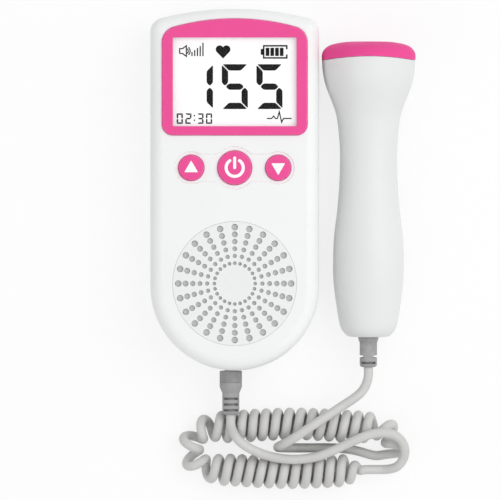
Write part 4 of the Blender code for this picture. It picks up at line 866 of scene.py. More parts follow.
def solder_mask(web):
    """A circuit board's green lacquer over tracks that run along and across it, and its tinned dots."""
    place = web.place()
    field = web.noise(place, 7 * MM, 1.0)
    runs = [web.between(wave, 0.62, 0.7) for wave in web.waves(place, 1 / (4 * MM))]
    along = web.maths("MULTIPLY", runs[0], web.between(field, 0.5, 0.51))
    across = web.maths("MULTIPLY", runs[1], web.between(field, 0.48, 0.47))
    track = web.maths("MAXIMUM", along, across)
    cells = web.add("TexVoronoi", {"Vector": place, "Scale": 1 / (3.4 * MM), "Randomness": 0.35})
    dot = web.between(cells.outputs["Distance"], 0.16, 0.13)
    green = web.blend(track, screen_rgba(30, 108, 66), screen_rgba(46, 136, 84))
    web.surface({
        "Base Color": web.blend(dot, green, screen_rgba(198, 198, 190)),
        "Metallic": dot,
        "Roughness": web.between(web.noise(place, 5 * MM), 0.3, 0.7, 0.3, 0.42),
    }, web.maths("MAXIMUM", track, dot), 0.03 * MM)


def clear_pane(web):
    """The clear pane: only its gloss and the faintest haze of handling show."""
    texture = web.effect(moulded_grain, {"Grain Size": 2 * MM, "Patch Size": 14 * MM})
    handled = web.effect(handling, {
        "Colour": screen_rgba(24, 25, 26), "Tint": screen_rgba(36, 38, 39), "Patches": texture["Patches"],
        "Roughness": 0.08, "Spread": 0.06,
    })
    alpha = web.between(texture["Patches"], 0.0, 1.0, 0.05, 0.07)
    web.surface({"Base Color": handled["Colour"], "Roughness": handled["Roughness"], "Alpha": alpha})


def lit_screen(web):
    """The white display film, lit from behind a little more in its middle than at its rim."""
    shift = tuple(-(LCD_LOW + LCD_HIGH) / 2)
    centre = web.add("Mapping", {"Vector": web.place(), "Location": shift}).outputs["Vector"]
    # In the glow the darker rim is the backlight's own fall. In the base colour it is painted shade, because the
    # film is one even white under any lamp.
    rim = web.between(web.add("VectorMath", {0: centre}, operation="LENGTH").outputs["Value"], 18 * MM, 32 * MM)
    base = settings("colours").screen
    film = web.effect(moulded_grain, {"Grain Size": 0.2 * MM, "Patch Size": 9 * MM})
    handled = web.effect(handling, {
        "Colour": web.blend(rim, rgba(base), rgba([0.93 * level for level in base])),
        "Tint": screen_rgba(244, 248, 249), "Patches": film["Patches"], "Roughness": 0.35, "Spread": 0.06,
    })
    colour = handled["Colour"]
    web.surface({
        "Base Color": colour, "Emission Color": colour, "Roughness": handled["Roughness"],
        "Emission Strength": settings("display").glow,
    }, film["Height"], 0.003 * MM)


def woven_cloth(web):
    """The speaker's dust cloth: threads over and under each other both ways."""
    place, pitch = web.place(), 0.5 * MM
    weave = web.maths("MAXIMUM", *web.waves(place, 2 * math.pi / (20 * pitch)))
    grain = web.effect(moulded_grain, {"Grain Size": 0.15 * MM, "Patch Size": 6 * MM})
    thread = web.blend(web.between(weave, 0.3, 0.9), screen_rgba(180, 184, 182), rgba(settings("colours").cloth))
    soil = web.maths("MULTIPLY", grain["Patches"], 0.2)
    web.surface({
        "Base Color": web.blend(soil, thread, screen_rgba(176, 180, 178)),
        "Roughness": web.between(grain["Height"], 0.3, 0.7, 0.85, 0.95),
        "Sheen Weight": 0.2,
    }, weave, 0.04 * MM)


def table_white(web):
    """The table's plain white, lifted only where it is seen."""
    web.surface({"Base Color": rgba(settings("colours").floor), "Roughness": 0.9, "Specular IOR Level": 0.1})
    lift = web.maths("MULTIPLY", web.seen(), settings("stage").floor_lift)
    plain, glow = web.tree.nodes["Principled BSDF"].outputs[0], web.add("Emission").outputs[0]
    mix = web.add("MixShader", {"Fac": lift, 1: plain, 2: glow}).outputs[0]
    web.feed(web.tree.nodes["Material Output"].inputs, {"Surface": mix})


OTHER_FINISHES = {
    build.__name__: build
    for build in (left_sleeve, right_sleeve, solder_mask, clear_pane, lit_screen, woven_cloth, table_white)
}


def paint(name):
    """The material of a finish, made on its first use."""
    made = bpy.data.materials.get(name)
    if made is None:
        made = bpy.data.materials.new(name)
        made.use_nodes = True
        web = Web(made.node_tree)
        if name in MOULDED:
            moulded(web, *MOULDED[name])
        elif name in METALS:
            metal(web, *METALS[name])
        else:
            OTHER_FINISHES[name](web)
    return made


# The stage


class DOPPLER_OT_stage(Operator):
    """Set up the table, the soft lamps and the camera above the monitor"""

    bl_idname = "doppler.stage"
    bl_label = "Stage"

    def execute(self, context):
        stage = settings("stage")
        scene = context.scene
        scene.view_settings.view_transform = "Standard"
        self.make_camera(scene, stage)
        take()
        bpy.ops.mesh.primitive_plane_add(size=6, location=(0, 0, 0))
        table = bpy.context.object
        table.name = "table"
        table.data.materials.append(paint("table_white"))
        self.make_lamp("key", stage.key_power, size=1.2, place=(0.72, 0.3, 1.05))
        self.make_lamp("fill", stage.fill_power, size=0.9, place=(-0.5, -0.6, 0.9))
        scene.world = bpy.data.worlds.new("studio")
        scene.world.use_nodes = True
        web = Web(scene.world.node_tree)
        strength = web.between(web.seen(), 0.0, 1.0, stage.sky, 1.0)
        web.feed(web.tree.nodes["Background"].inputs, {"Color": WHITE, "Strength": strength})
        return {"FINISHED"}

    def make_camera(self, scene, stage):
        camera = bpy.data.cameras.new("camera")
        camera.lens = stage.lens
        camera.sensor_width = 36
        camera.clip_start, camera.clip_end = 0.01, 10
        distance = stage.view_width * camera.lens / camera.sensor_width
        holder = bpy.data.objects.new("camera", camera)
        holder.location = (stage.view_across, stage.view_along, stage.subject_height + distance)
        scene.collection.objects.link(holder)
        scene.camera = holder

    def make_lamp(self, name, power, size, place):
        lamp = bpy.data.lights.new(name, "AREA")
        lamp.energy, lamp.size = power, size
        holder = bpy.data.objects.new(name, lamp)
        holder.location = place
        holder.rotation_euler = (-Vector(place)).to_track_quat("-Z", "Y").to_euler()
        bpy.context.scene.collection.objects.link(holder)


# The housing


def casing_shell(name, outer_z, rim_z, fillet):
    """One half of the housing as an open, even wall with a filleted face and a broken edge at its rim."""
    sizes = settings("housing")
    shell = pull(unit_outline(name, outer_z), rim_z - outer_z)
    round_edges(shell, at_height(rim_z), sizes.rim_edge, 2)
    open_face(shell, at_height(rim_z))
    round_edges(shell, at_height(outer_z), fillet, 12)
    return thicken(shell, sizes.wall)


def plug_hole():
    """The cutter for the round hole that the plug's pin goes through."""
    sizes = settings("plug")
    place = Matrix.Translation((sizes.across, -UNIT_END + 4 * MM, SEAM_Z)) @ Matrix.Rotation(QUARTER, 4, "X")
    return set_in_place(rod("plug_hole", sizes.pin_radius + 0.6 * MM, 0, 8 * MM, 32), place)


def pad_outline(name, height):
    """The wavy recess: a lobe round each button, joined by necks with soft hollows."""
    sizes, keys = settings("housing"), settings("buttons")
    reach = middle("down_button").x
    neck, hollow = sizes.pad_neck, 2.5 * MM
    arrow = keys.arrow_radius + sizes.pad_margin
    power = keys.power_radius + sizes.pad_margin + 0.3 * MM
    rise = neck + hollow
    arrow_x = reach - math.sqrt((arrow + hollow) ** 2 - rise ** 2)
    power_x = math.sqrt((power + hollow) ** 2 - rise ** 2)
    arrow_turn = math.atan2(rise, arrow_x - reach)
    power_turn = math.atan2(rise, power_x)
    side = 1

    def at(x, y):
        return side * x, BUTTON_Y + side * y

    pen = Pen(name, at(reach + arrow * math.cos(arrow_turn), -arrow * math.sin(arrow_turn)), height)
    for side in (1, -1):
        pen.turn(at(reach, 0), 2 * arrow_turn)
        pen.turn(at(arrow_x, rise), QUARTER - arrow_turn, 6)
        pen.to(at(power_x, neck)).turn(at(power_x, rise), power_turn - QUARTER, 8)
        pen.turn(at(0, 0), math.pi - 2 * power_turn)
        pen.turn(at(-power_x, rise), power_turn - QUARTER, 8)
        pen.to(at(-arrow_x, neck)).turn(at(-arrow_x, rise), QUARTER - arrow_turn, 6)
    return pen.fill()


class DOPPLER_OT_front_casing(Operator):
    """Model the front half of the housing with its seats for the frame, the buttons and the grille"""

    bl_idname = "doppler.front_casing"
    bl_label = "Front casing"

    def execute(self, context):
        sizes = settings("housing")
        rim = SEAM_Z + sizes.seam / 2
        casing = casing_shell("front_housing", FACE_Z, rim, sizes.front_fillet)
        groove = unit_outline("groove", rim - OVERRUN, sizes.tongue_inset - sizes.seam)
        cut(casing, pull(groove, OVERRUN + sizes.lip + sizes.seam))
        cut(casing, self.frame_seat(), self.screen_hole(), self.pad(), self.grille_seat(), plug_hole())
        for node, _, radius in buttons():
            cut(casing, self.button_hole(node, radius))
        finish(shade(casing), "casing_plastic", "white_plastic", "front_casing")
        return {"FINISHED"}

    def frame_seat(self):
        seat = FRAME_LOW.z - CLEARANCE
        return pull(frame_outline("seat", seat, -settings("display").gap), FACE_Z + OVERRUN - seat)

    def screen_hole(self):
        x, y = [(LCD_LOW[axis] - CLEARANCE, LCD_HIGH[axis] + CLEARANCE) for axis in (0, 1)]
        return block("screen_hole", x, y, MM, FACE_Z + OVERRUN, -8 * MM)

    def pad(self):
        depth = settings("housing").pad_depth
        pad = pull(pad_outline("pad", FACE_Z + OVERRUN), -OVERRUN - depth)
        return round_edges(pad, at_height(FACE_Z - depth), depth * 0.9, 4)

    def grille_seat(self):
        seat, hole = GRILLE_RADIUS + settings("grille").gap, GRILLE_RADIUS - MM
        low, floor, top = GRILLE_LOW - 4 * MM, GRILLE_LOW - CLEARANCE, FACE_Z + OVERRUN
        outline = profile("grille_seat", (0, low), (hole, low), (hole, floor), (seat, floor))
        return move(outline.to((seat, top), (0, top)).lathe(128), y=GRILLE_Y)

    def button_hole(self, node, radius):
        floor = FACE_Z - settings("housing").pad_depth
        hole, edge, low = radius + settings("buttons").gap, 0.15 * MM, floor - 4 * MM
        outline = profile("button_hole", (0, low), (hole, low), (hole, floor - edge))
        cutter = outline.to((hole + 2 * edge, floor + edge), (0, floor + edge)).lathe(64)
        return move(cutter, middle(node).x, BUTTON_Y)


class DOPPLER_OT_rear_casing(Operator):
    """Model the rear half of the housing with its battery bay, its screw wells and the tongue of its rim"""

    bl_idname = "doppler.rear_casing"
    bl_label = "Rear casing"

    def execute(self, context):
        sizes = settings("housing")
        rim = SEAM_Z - sizes.seam / 2
        casing = casing_shell("rear_housing", 0, rim, sizes.rear_fillet)
        places = [middle(screw) for screw in CASE_SCREWS]
        for part in (self.tongue(rim), self.tub(), *map(self.boss, places)):
            combine(casing, part, "UNION")
        cut(casing, self.bay(), self.opening(), plug_hole(), *map(self.well, places))
        finish(shade(casing), "casing_plastic", "white_plastic", "rear_casing")
        return {"FINISHED"}

    def tongue(self, rim):
        sizes = settings("housing")
        foot = rim - 2 * sizes.lip
        ring = pull(unit_outline("tongue", foot, sizes.tongue_inset), 3 * sizes.lip)
        open_face(ring, at_height(foot))
        open_face(ring, at_height(rim + sizes.lip))
        return thicken(ring, sizes.wall - sizes.tongue_inset)

    def tub(self):
        sizes = settings("housing")
        grow, low = sizes.bay_wall, sizes.wall - BITE
        across, along = (-BAY_HALF - grow, BAY_HALF + grow), (BAY_FOOT_Y - grow, DOOR_TOP_Y + grow)
        return block("tub", across, along, sizes.bay_corner, low, sizes.bay_ceiling + grow - low)

    def bay(self):
        top = settings("housing").bay_ceiling
        return block("bay", (-BAY_HALF, BAY_HALF), (BAY_FOOT_Y, DOOR_TOP_Y), MM, -OVERRUN, top + OVERRUN)

    def opening(self):
        along = (OUTSIDE_Y, DOOR_TOP_Y + 0.2 * MM)
        rise = DOOR_TOP_Z + CLEARANCE + OVERRUN
        return block("opening", (-BAY_HALF, BAY_HALF), along, 1.4 * MM, -OVERRUN, rise)

    def boss(self, place):
        sizes = settings("housing")
        boss = rod("boss", sizes.well_radius + 1.1 * MM, sizes.wall - BITE, 12 * MM, 40)
        return move(boss, place.x, place.y)

    def well(self, place):
        sizes = settings("housing")
        radius, deep, edge, shank, top = sizes.well_radius, sizes.well_depth, 0.25 * MM, 1.4 * MM, 20 * MM
        outline = profile("well", (0, -edge), (radius + 2 * edge, -edge), (radius, edge), (radius, deep))
        return move(outline.to((shank, deep), (shank, top), (0, top)).lathe(48), place.x, place.y)


class DOPPLER_OT_battery_door(Operator):
    """Model the sliding battery door with its grip grooves and its hooks"""

    bl_idname = "doppler.battery_door"
    bl_label = "Battery door"

    def execute(self, context):
        sizes = settings("housing")
        half = BAY_HALF - 0.2 * MM
        door = casing_shell("battery_cover", 0, SEAM_Z - sizes.seam / 2, sizes.rear_fillet)
        along = (OUTSIDE_Y, DOOR_TOP_Y)
        blank = block("blank", (-half, half), along, 1.2 * MM, -OVERRUN, DOOR_TOP_Z + OVERRUN)
        combine(door, blank, "INTERSECT")
        cut(door, self.grip())
        for place in HOOK_PLACES:
            for side in (-1, 1):
                combine(door, self.hook(half, place, side), "UNION")
        finish(shade(door), "casing_plastic", "white_plastic", "battery_door", body="door")
        return {"FINISHED"}

    def grip(self):
        sizes = settings("housing")
        half, wide = sizes.grip_length / 2, sizes.grip_width
        y = DOOR_TOP_Y - sizes.grip_start
        along = (y - wide / 2, y + wide / 2)
        groove = block("groove", (-half, half), along, wide * 0.49, -OVERRUN, OVERRUN + sizes.grip_depth)
        round_edges(groove, at_height(sizes.grip_depth), sizes.grip_depth * 0.8)
        return modify(
            groove, "ARRAY", count=sizes.grip_grooves, use_relative_offset=False, use_constant_offset=True,
            constant_offset_displace=(0, -sizes.grip_pitch, 0)
        )

    def hook(self, half, place, side):
        wall, long = settings("housing").wall, 5 * MM
        root, low, high = wall - BITE, wall + CLEARANCE, wall + 1.1 * MM
        near, face, far = side * (half - 1.8 * MM), side * half, side * (half + 1.5 * MM)
        outline = profile("hook", (near, root), (face, root), (face, low), (far, low), (far, high), (near, high))
        return move(pull(outline.fill(), 0, long), y=place - long / 2)


class DOPPLER_OT_case_screws(Operator):
    """Model one cross-head screw and copy it into the four wells"""

    bl_idname = "doppler.case_screws"
    bl_label = "Housing screws"

    def execute(self, context):
        low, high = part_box(CASE_SCREWS[0])
        radius, top = (high.x - low.x) / 2, low.z
        foot, shank = top + 1.5 * MM, 1.1 * MM
        outline = profile("screw", (0, top), (radius * 0.6, top))
        outline.turn((radius * 0.6, top + 0.7 * MM), QUARTER * 0.95, 6)
        screw = outline.to((radius, foot), (shank, foot), (shank, high.z - MM), (0, high.z)).lathe(40)
        arm, half = 0.45 * radius, 0.22 * MM
        for turn in (0, QUARTER):
            slot = block("slot", (-arm, arm), (-half, half), 0.1 * MM, top - MM, 1.8 * MM)
            cut(screw, set_in_place(slot, Matrix.Rotation(turn, 4, "Z")))
        shade(screw)
        for number, node in enumerate(CASE_SCREWS, 1):
            take(screw)
            bpy.ops.object.duplicate(linked=False)
            placed = bpy.context.object
            placed.name = placed.data.name = f"housing_screw_{number}"
            spot = middle(node)
            turned = Matrix.Translation((spot.x, spot.y, 0)) @ Matrix.Rotation(number * 0.7, 4, "Z")
            finish(set_in_place(placed, turned), "screw_steel", "steel", node)
        bpy.data.objects.remove(screw, do_unlink=True)
        return {"FINISHED"}


# The display


def screen_spans(grow=0.0):
    """The display opening's two spans."""
    sizes = settings("display")
    half, low = sizes.screen_width / 2, FRAME_LOW.y + sizes.screen_foot
    return (-half - grow, half + grow), (low - grow, low + sizes.screen_height + grow)


class DOPPLER_OT_display_frame(Operator):
    """Model the pink frame with its opening, the lip over the window and its bevels"""

    bl_idname = "doppler.display_frame"
    bl_label = "Display frame"

    def execute(self, context):
        sizes = settings("display")
        low, high, corner = FRAME_LOW.z, FRAME_HIGH.z, sizes.screen_corner
        made = pull(frame_outline("display_frame", low), high - low)
        round_edges(made, at_height(high), sizes.edge, 5)
        cut(made, block("opening", *screen_spans(), corner, low - OVERRUN, high - low + 2 * OVERRUN))
        recess = high - sizes.lip - low + OVERRUN
        cut(made, block("recess", *screen_spans(1.5 * MM), 2 * corner, low - OVERRUN, recess))
        x, y = screen_spans(WELD)
        round_edges(made, lambda edge: at_height(high)(edge) and all(
            x[0] <= end.co.x <= x[1] and y[0] <= end.co.y <= y[1] for end in edge.verts
        ), sizes.bevel)
        finish(shade(made), "pink_moulding", "pink_plastic", "display_bezel")
        return {"FINISHED"}


# Each bar of a figure: its shape, and whether it is mirrored across and up
FIGURE_BARS = {
    "top": (0, False, False), "bottom": (0, False, True), "middle": (2, False, False),
    "upper_left": (1, False, False), "upper_right": (1, True, False),
    "lower_left": (1, False, True), "lower_right": (1, True, True),
}
FIGURES = {
    "0": ("top", "upper_left", "upper_right", "lower_left", "lower_right", "bottom"),
    "1": ("upper_right", "lower_right"),
    "2": ("top", "upper_right", "middle", "lower_left", "bottom"),
    "3": ("top", "upper_right", "middle", "lower_right", "bottom"),
    "5": ("top", "upper_left", "middle", "lower_right", "bottom"),
}


class DOPPLER_OT_display_figures(Operator):
    """Model the dark figures and signs of the display"""

    bl_idname = "doppler.display_figures"
    bl_label = "Display figures"

    def execute(self, context):
        sizes = settings("display")
        self.depth, self.z = sizes.ink_depth, LCD_HIGH.z + 0.02 * MM
        self.made = []
        large = (sizes.figure_width, sizes.figure_height, sizes.figure_stroke, sizes.figure_gap)
        small = (2.3 * MM, 3.9 * MM, 0.56 * MM, 0.05 * MM)
        rows = (("155", (-17.8, -4.8, 8.1), -10.1, large), ("0230", (-21.6, -18.4, -13.9, -10.7), -15.6, small))
        for figures, places, y, shape in rows:
            for figure, x in zip(figures, places):
                self.number(figure, x * MM, y * MM, *shape)
        for y in (-14.5 * MM, -12.8 * MM):
            self.patch((-15.25 * MM, -14.75 * MM), (y, y + 0.5 * MM))
        self.speaker()
        self.heart(-4.33 * MM, 11.2 * MM, 5.5 * MM)
        self.battery((9.7 * MM, 19.4 * MM), (8.95 * MM, 13.45 * MM))
        self.pulse()
        low, high = screen_spans()[1]
        finish(move(join("display_figures", self.made), y=(low + high) / 2), "figure_ink", "lcd_glass")
        return {"FINISHED"}

    def patch(self, x, y, corner=0.08 * MM):
        self.made.append(block("patch", x, y, corner, self.z, self.depth))

    def number(self, figure, x, y, wide, tall, stroke, gap):
        """One seven-bar figure: three bar shapes, mirrored across and up as each bar needs."""
        mid, half, near, far = tall / 2, stroke / 2, stroke + gap, wide - stroke - gap
        shapes = (
            ((gap, tall), (wide - gap, tall), (far, tall - stroke), (near, tall - stroke)),
            (
                (0, tall - gap), (stroke, tall - stroke - gap), (stroke, mid + half + gap),
                (half, mid + gap), (0, mid + half + gap),
            ),
            (
                (half + gap, mid), (near, mid + half), (far, mid + half),
                (wide - half - gap, mid), (far, mid - half), (near, mid - half),
            ),
        )
        for bar in FIGURES[figure]:
            shape, across, over = FIGURE_BARS[bar]
            points = [
                (x + (wide - px if across else px), y + (tall - py if over else py)) for px, py in shapes[shape]
            ]
            outline = Pen("bar", points[0], self.z).to(*points[1:]).fill()
            self.made.append(pull(round_corners(outline, stroke * 0.22), self.depth))

    def stroke(self, pen, width):
        """A line of even width along an open drawn line."""
        bpy.ops.mesh.select_all(action="SELECT")
        bpy.ops.mesh.extrude_region_move(TRANSFORM_OT_translate={"value": (0, 0, self.depth)})
        self.made.append(thicken(leave_edit(pen.piece), width, 0))

    def speaker(self):
        left, low, high = -20.5 * MM, 9.5 * MM, 13.5 * MM
        back, front, rise = left + 1.1 * MM, left + 2.5 * MM, 0.9 * MM
        mid, thin, ear = (low + high) / 2, 0.42 * MM, left + 1.9 * MM
        horn = Pen("horn", (left, mid - rise), self.z).to((back, mid - rise), (front, low), (front, high))
        self.stroke(horn.to((back, mid + rise), (left, mid + rise), (left, mid - rise)), thin)
        for radius in (1.3 * MM, 2 * MM):
            start = (ear + radius * math.cos(0.8), mid - radius * math.sin(0.8))
            self.stroke(Pen("wave", start, self.z).turn((ear, mid), 1.6, 10), thin)
        for number, top in enumerate((11.2, 11.9, 12.65, 13.4, 14.6)):
            x = (-15.9 + 1.02 * number) * MM
            self.patch((x - 0.23 * MM, x + 0.23 * MM), (9.6 * MM, top * MM), 0.05 * MM)

    def heart(self, x, y, width):
        """Two round lobes whose lower sides run straight to a point."""
        radius = width * 0.27
        y += width * 0.17
        lobe = width / 2 - radius
        side = math.radians(45)
        reach, drop = lobe + radius * math.sin(side), radius * math.cos(side)
        turn = math.pi - math.acos(lobe / radius) + side
        pen = Pen("heart", (x, y - width * 0.62), self.z).to((x + reach, y - drop))
        pen.turn((x + lobe, y), turn, 24).turn((x - lobe, y), turn, 24).to((x - reach, y - drop))
        self.made.append(pull(pen.fill(), self.depth))

    def battery(self, x, y):
        thin, inset = 0.58 * MM, 0.72 * MM
        left, right = x[0] + 1.1 * MM, x[1]
        case = Pen("case", (right, y[0] + 1.3 * MM), self.z).to((right, y[0]), (left, y[0]), (left, y[1]))
        self.stroke(case.to((right, y[1]), (right, y[1] - 1.3 * MM)), thin)
        mid = (y[0] + y[1]) / 2
        self.patch((x[0], left), (mid - 1.1 * MM, mid + 1.1 * MM))
        for bar in range(4):
            start = left + 0.75 * MM + bar * 1.76 * MM
            self.patch((start, start + 1.36 * MM), (y[0] + inset, y[1] - inset))

    def pulse(self):
        """A plain pulse line."""
        beats = ((0, 0), (1.8, 0), (2.5, 0.9), (3.2, 0), (3.9, 0), (4.6, 2.5), (5.5, -1.4), (6.2, 0), (9.2, 0))
        points = [((12.0 + across) * MM, (-13.6 + rise) * MM) for across, rise in beats]
        self.stroke(Pen("pulse", points[0], self.z).to(*points[1:]), 0.42 * MM)


# The buttons


def buttons():
    """Each button's node, body and radius."""
    sizes = settings("buttons")
    return (
        ("up_button", "up_key", sizes.arrow_radius),
        ("power_button", "power_key", sizes.power_radius),
        ("down_button", "down_key", sizes.arrow_radius),
    )


class DOPPLER_OT_buttons(Operator):
    """Model the three crowned buttons and the white signs that are set into them"""

    bl_idname = "doppler.buttons"
    bl_label = "Buttons"

    def execute(self, context):
        for node, body, radius in buttons():
            x = middle(node).x
            cap = move(self.cap(f"{body}_cap", node, radius, 0), x, BUTTON_Y)
            finish(shade(cap), "pink_moulding", "pink_plastic", node, body=body)
            sign = self.power_sign() if node == "power_button" else self.arrow(node)
            combine(sign, self.cap("crown", node, radius, 0.06 * MM), "INTERSECT")
            finish(shade(move(sign, x, BUTTON_Y)), "sign_white", "white_plastic", body=body)
        return {"FINISHED"}

    def cap(self, name, node, radius, lift):
        sizes = settings("buttons")
        low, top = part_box(node)
        shoulder = top.z - sizes.crown - sizes.edge
        flat = radius - sizes.edge
        crown = (flat ** 2 + sizes.crown ** 2) / (2 * sizes.crown)
        brim, stem = radius + 0.9 * MM, 1.5 * MM
        under, over = FACE_Z - 3.5 * MM, FACE_Z - 2.5 * MM
        pen = profile(name, (0, low.z), (stem, low.z), (stem, under), (brim, under), (brim, over), (radius, over))
        pen.to((radius, shoulder)).turn((flat, shoulder), QUARTER, 6)
        pen.turn((0, top.z - crown), math.asin(flat / crown), 12)
        return move(pen.lathe(96), z=lift)

    def blank(self, outline):
        return pull(outline, 2 * MM)

    def arrow(self, node):
        sizes = settings("buttons")
        way = 1 if node == "up_button" else -1
        half, tall = sizes.arrow_width / 2, sizes.arrow_height
        points = ((-half * way, -0.38 * tall * way), (half * way, -0.38 * tall * way), (0, 0.62 * tall * way))
        outline = Pen(node.replace("button", "sign"), points[0], SIGN_Z).to(*points[1:]).fill()
        return self.blank(round_corners(outline, 0.25 * MM, 4))

    def power_sign(self):
        sizes = settings("buttons")
        half, ring_radius = sizes.ring_stroke / 2, sizes.ring_radius
        opening = math.pi * sizes.ring_gap
        start, sweep = QUARTER + opening, 2 * math.pi - 2 * opening

        def at(radius, turn):
            return radius * math.cos(turn), radius * math.sin(turn)

        pen = Pen("power_sign", at(ring_radius + half, start), SIGN_Z).turn((0, 0), sweep)
        pen.turn(at(ring_radius, start + sweep), math.pi, 8).turn((0, 0), -sweep)
        ring = self.blank(pen.turn(at(ring_radius, start), math.pi, 8).fill())
        wide = half * 0.95
        bar = block("bar", (-wide, wide), (sizes.bar_low, sizes.bar_top), wide * 0.98, SIGN_Z, 2 * MM)
        return join("power_sign", [ring, bar])


# The speaker


class DOPPLER_OT_grille(Operator):
    """Model the round grille with its rows of sound holes, one row turned round the middle"""

    bl_idname = "doppler.grille"
    bl_label = "Speaker grille"

    def execute(self, context):
        sizes = settings("grille")
        low, top, edge = GRILLE_LOW, FACE_Z, 0.1 * MM
        outline = profile("grille", (0, low), (GRILLE_RADIUS, low), (GRILLE_RADIUS, top - edge))
        disc = outline.turn((GRILLE_RADIUS - edge, top - edge), QUARTER, 4).to((0, top)).lathe(160)
        cut(disc, self.holes(low, top))
        cut(disc, rod("field", GRILLE_RADIUS - sizes.rim, low - MM, top - sizes.field, 96))
        finish(shade(move(disc, y=GRILLE_Y)), "grille_plastic", "white_plastic", "speaker_grille")
        return {"FINISHED"}

    def holes(self, low, top):
        sizes = settings("grille")
        row, edge = [], sizes.edge
        for ring in range(sizes.rings):
            radius = (sizes.inner_hole + ring * sizes.hole_step) / 2
            outline = profile("hole", (0, low - MM), (radius, low - MM), (radius, top - edge))
            hole = outline.to((radius + 2 * edge, top + edge), (0, top + edge)).lathe(18)
            row.append(move(hole, y=sizes.inner_ring + ring * sizes.ring_step))
        holes = join("holes", row)
        edit(holes)
        more = sizes.spokes - 1
        turn = 2 * math.pi / sizes.spokes * more
        bpy.ops.mesh.spin(steps=more, dupli=True, angle=turn, center=(0, 0, 0), axis=(0, 0, 1))
        return leave_edit(holes)


class DOPPLER_OT_speaker_cloth(Operator):
    """Model the woven cloth between the speaker and the grille's thinner field"""

    bl_idname = "doppler.speaker_cloth"
    bl_label = "Speaker cloth"

    def execute(self, context):
        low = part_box("speaker_cloth")[0].z
        radius = span("speaker_cloth", 0) / 2
        top, edge = FACE_Z - settings("grille").field - 0.06 * MM, 0.2 * MM
        outline = profile("woven_cloth", (0, low), (radius, low), (radius, top - edge))
        outline.turn((radius - edge, top - edge), QUARTER, 4)
        outline.to((radius / 2, top - 0.02 * MM), (0, top - 0.04 * MM))
        cloth = shade(move(outline.lathe(96), y=GRILLE_Y))
        finish(cloth, "woven_cloth", "speaker_cloth", "speaker_cloth")
        return {"FINISHED"}


# The inner pieces, which are kept from the frame

INNER_FINISHES = {
    "clear_pane": ["display_window"],
    "lit_screen": ["lcd_panel"],
    "pale_moulding": ["lcd_backlight", "up_plunger", "power_plunger", "down_plunger"],
    "dark_moulding": ["probe_socket", "up_switch", "power_switch", "down_switch"],
    "solder_mask": ["circuit_board", "probe_board"],
    "screw_steel": [f"board_screw_{number}" for number in range(1, 5)],
    "plated_steel": ["battery_link", "battery_contact_negative", "battery_contact_positive", "speaker_frame"],
    "pressed_paper": ["speaker_cone"],
    "sintered_magnet": ["speaker_magnet"],
    "left_sleeve": ["battery_left"],
    "right_sleeve": ["battery_right"],
    "silvered_face": ["transmit_crystal", "receive_crystal"],
    "cast_epoxy": ["crystal_backing"],
}


class DOPPLER_OT_inner_finishes(Operator):
    """Give the window, the display and every inner piece of the frame its finish"""

    bl_idname = "doppler.inner_finishes"
    bl_label = "Inner pieces"

    def execute(self, context):
        for material, nodes in INNER_FINISHES.items():
            for node in nodes:
                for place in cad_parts[node].material_slots:
                    place.material = paint(material)
        return {"FINISHED"}


# The plug


def cut_slot(sleeve, radius, place, turn=0.0):
    """Cuts one slot into a sleeve from two opposite sides, and leaves its core and the spines between whole."""
    sizes = settings("plug")
    width, half = sizes.groove, sizes.groove_reach
    inner, outer, low, high = radius - sizes.groove_depth, radius + MM, place - width / 2, place + width / 2
    ring = profile("ring", (inner, low), (outer, low), (outer, high), (inner, high)).lathe(48, True)
    bars = [
        block("bar", (-half, half), along, 0.1 * MM, low - MM, width + 2 * MM)
        for along in ((0.45 * inner, outer), (-outer, -0.45 * inner))
    ]
    bars = set_in_place(join("bars", bars), Matrix.Rotation(turn, 4, "Z"))
    cut(sleeve, combine(ring, bars, "INTERSECT"))


class DOPPLER_OT_plug(Operator):
    """Turn the plug: its pin, its thick head with a band, its taper and its ribbed sleeve"""

    bl_idname = "doppler.plug"
    bl_label = "Plug"

    def execute(self, context):
        sizes = settings("plug")
        place = Matrix.Translation((sizes.across, PLUG_Y, SEAM_Z)) @ Matrix.Rotation(QUARTER, 4, "X")
        pin, tip, edge, nick = sizes.pin_radius, -sizes.pin_length, 0.35 * MM, 0.15 * MM
        radius, sleeve, band = sizes.radius, sizes.sleeve_radius, sizes.head - sizes.band
        start = sizes.head + sizes.taper
        end, drop = start + sizes.sleeve_length, sleeve - sizes.end_radius
        pen = profile("plug", (0, tip), (pin * 0.6, tip), (pin, tip + MM), (pin, 0), (radius - edge, 0))
        pen.turn((radius - edge, edge), QUARTER, 5).to((radius, band - nick), (radius - nick, band))
        pen.to((radius, band + nick), (radius, sizes.head), (sleeve, start), (sleeve, end - drop))
        plug = pen.turn((sizes.end_radius, end - drop), QUARTER, 6).to((0, end)).lathe(64)
        for rib in range(sizes.ribs):
            cut_slot(plug, sleeve, start + sizes.rib_start + rib * sizes.rib_pitch)
        shade(set_in_place(plug, place), 40)
        finish(plug, "sleeve_rubber", "grey_rubber", "unit_plug")
        plug.data.materials.append(paint("head_rubber"))
        plug.data.materials.append(paint("plated_steel"))
        for face in plug.data.polygons:
            if face.center.y > PLUG_Y + WELD:
                face.material_index = 2
            elif face.center.y > PLUG_Y - band:
                face.material_index = 1
        return {"FINISHED"}


# The probe


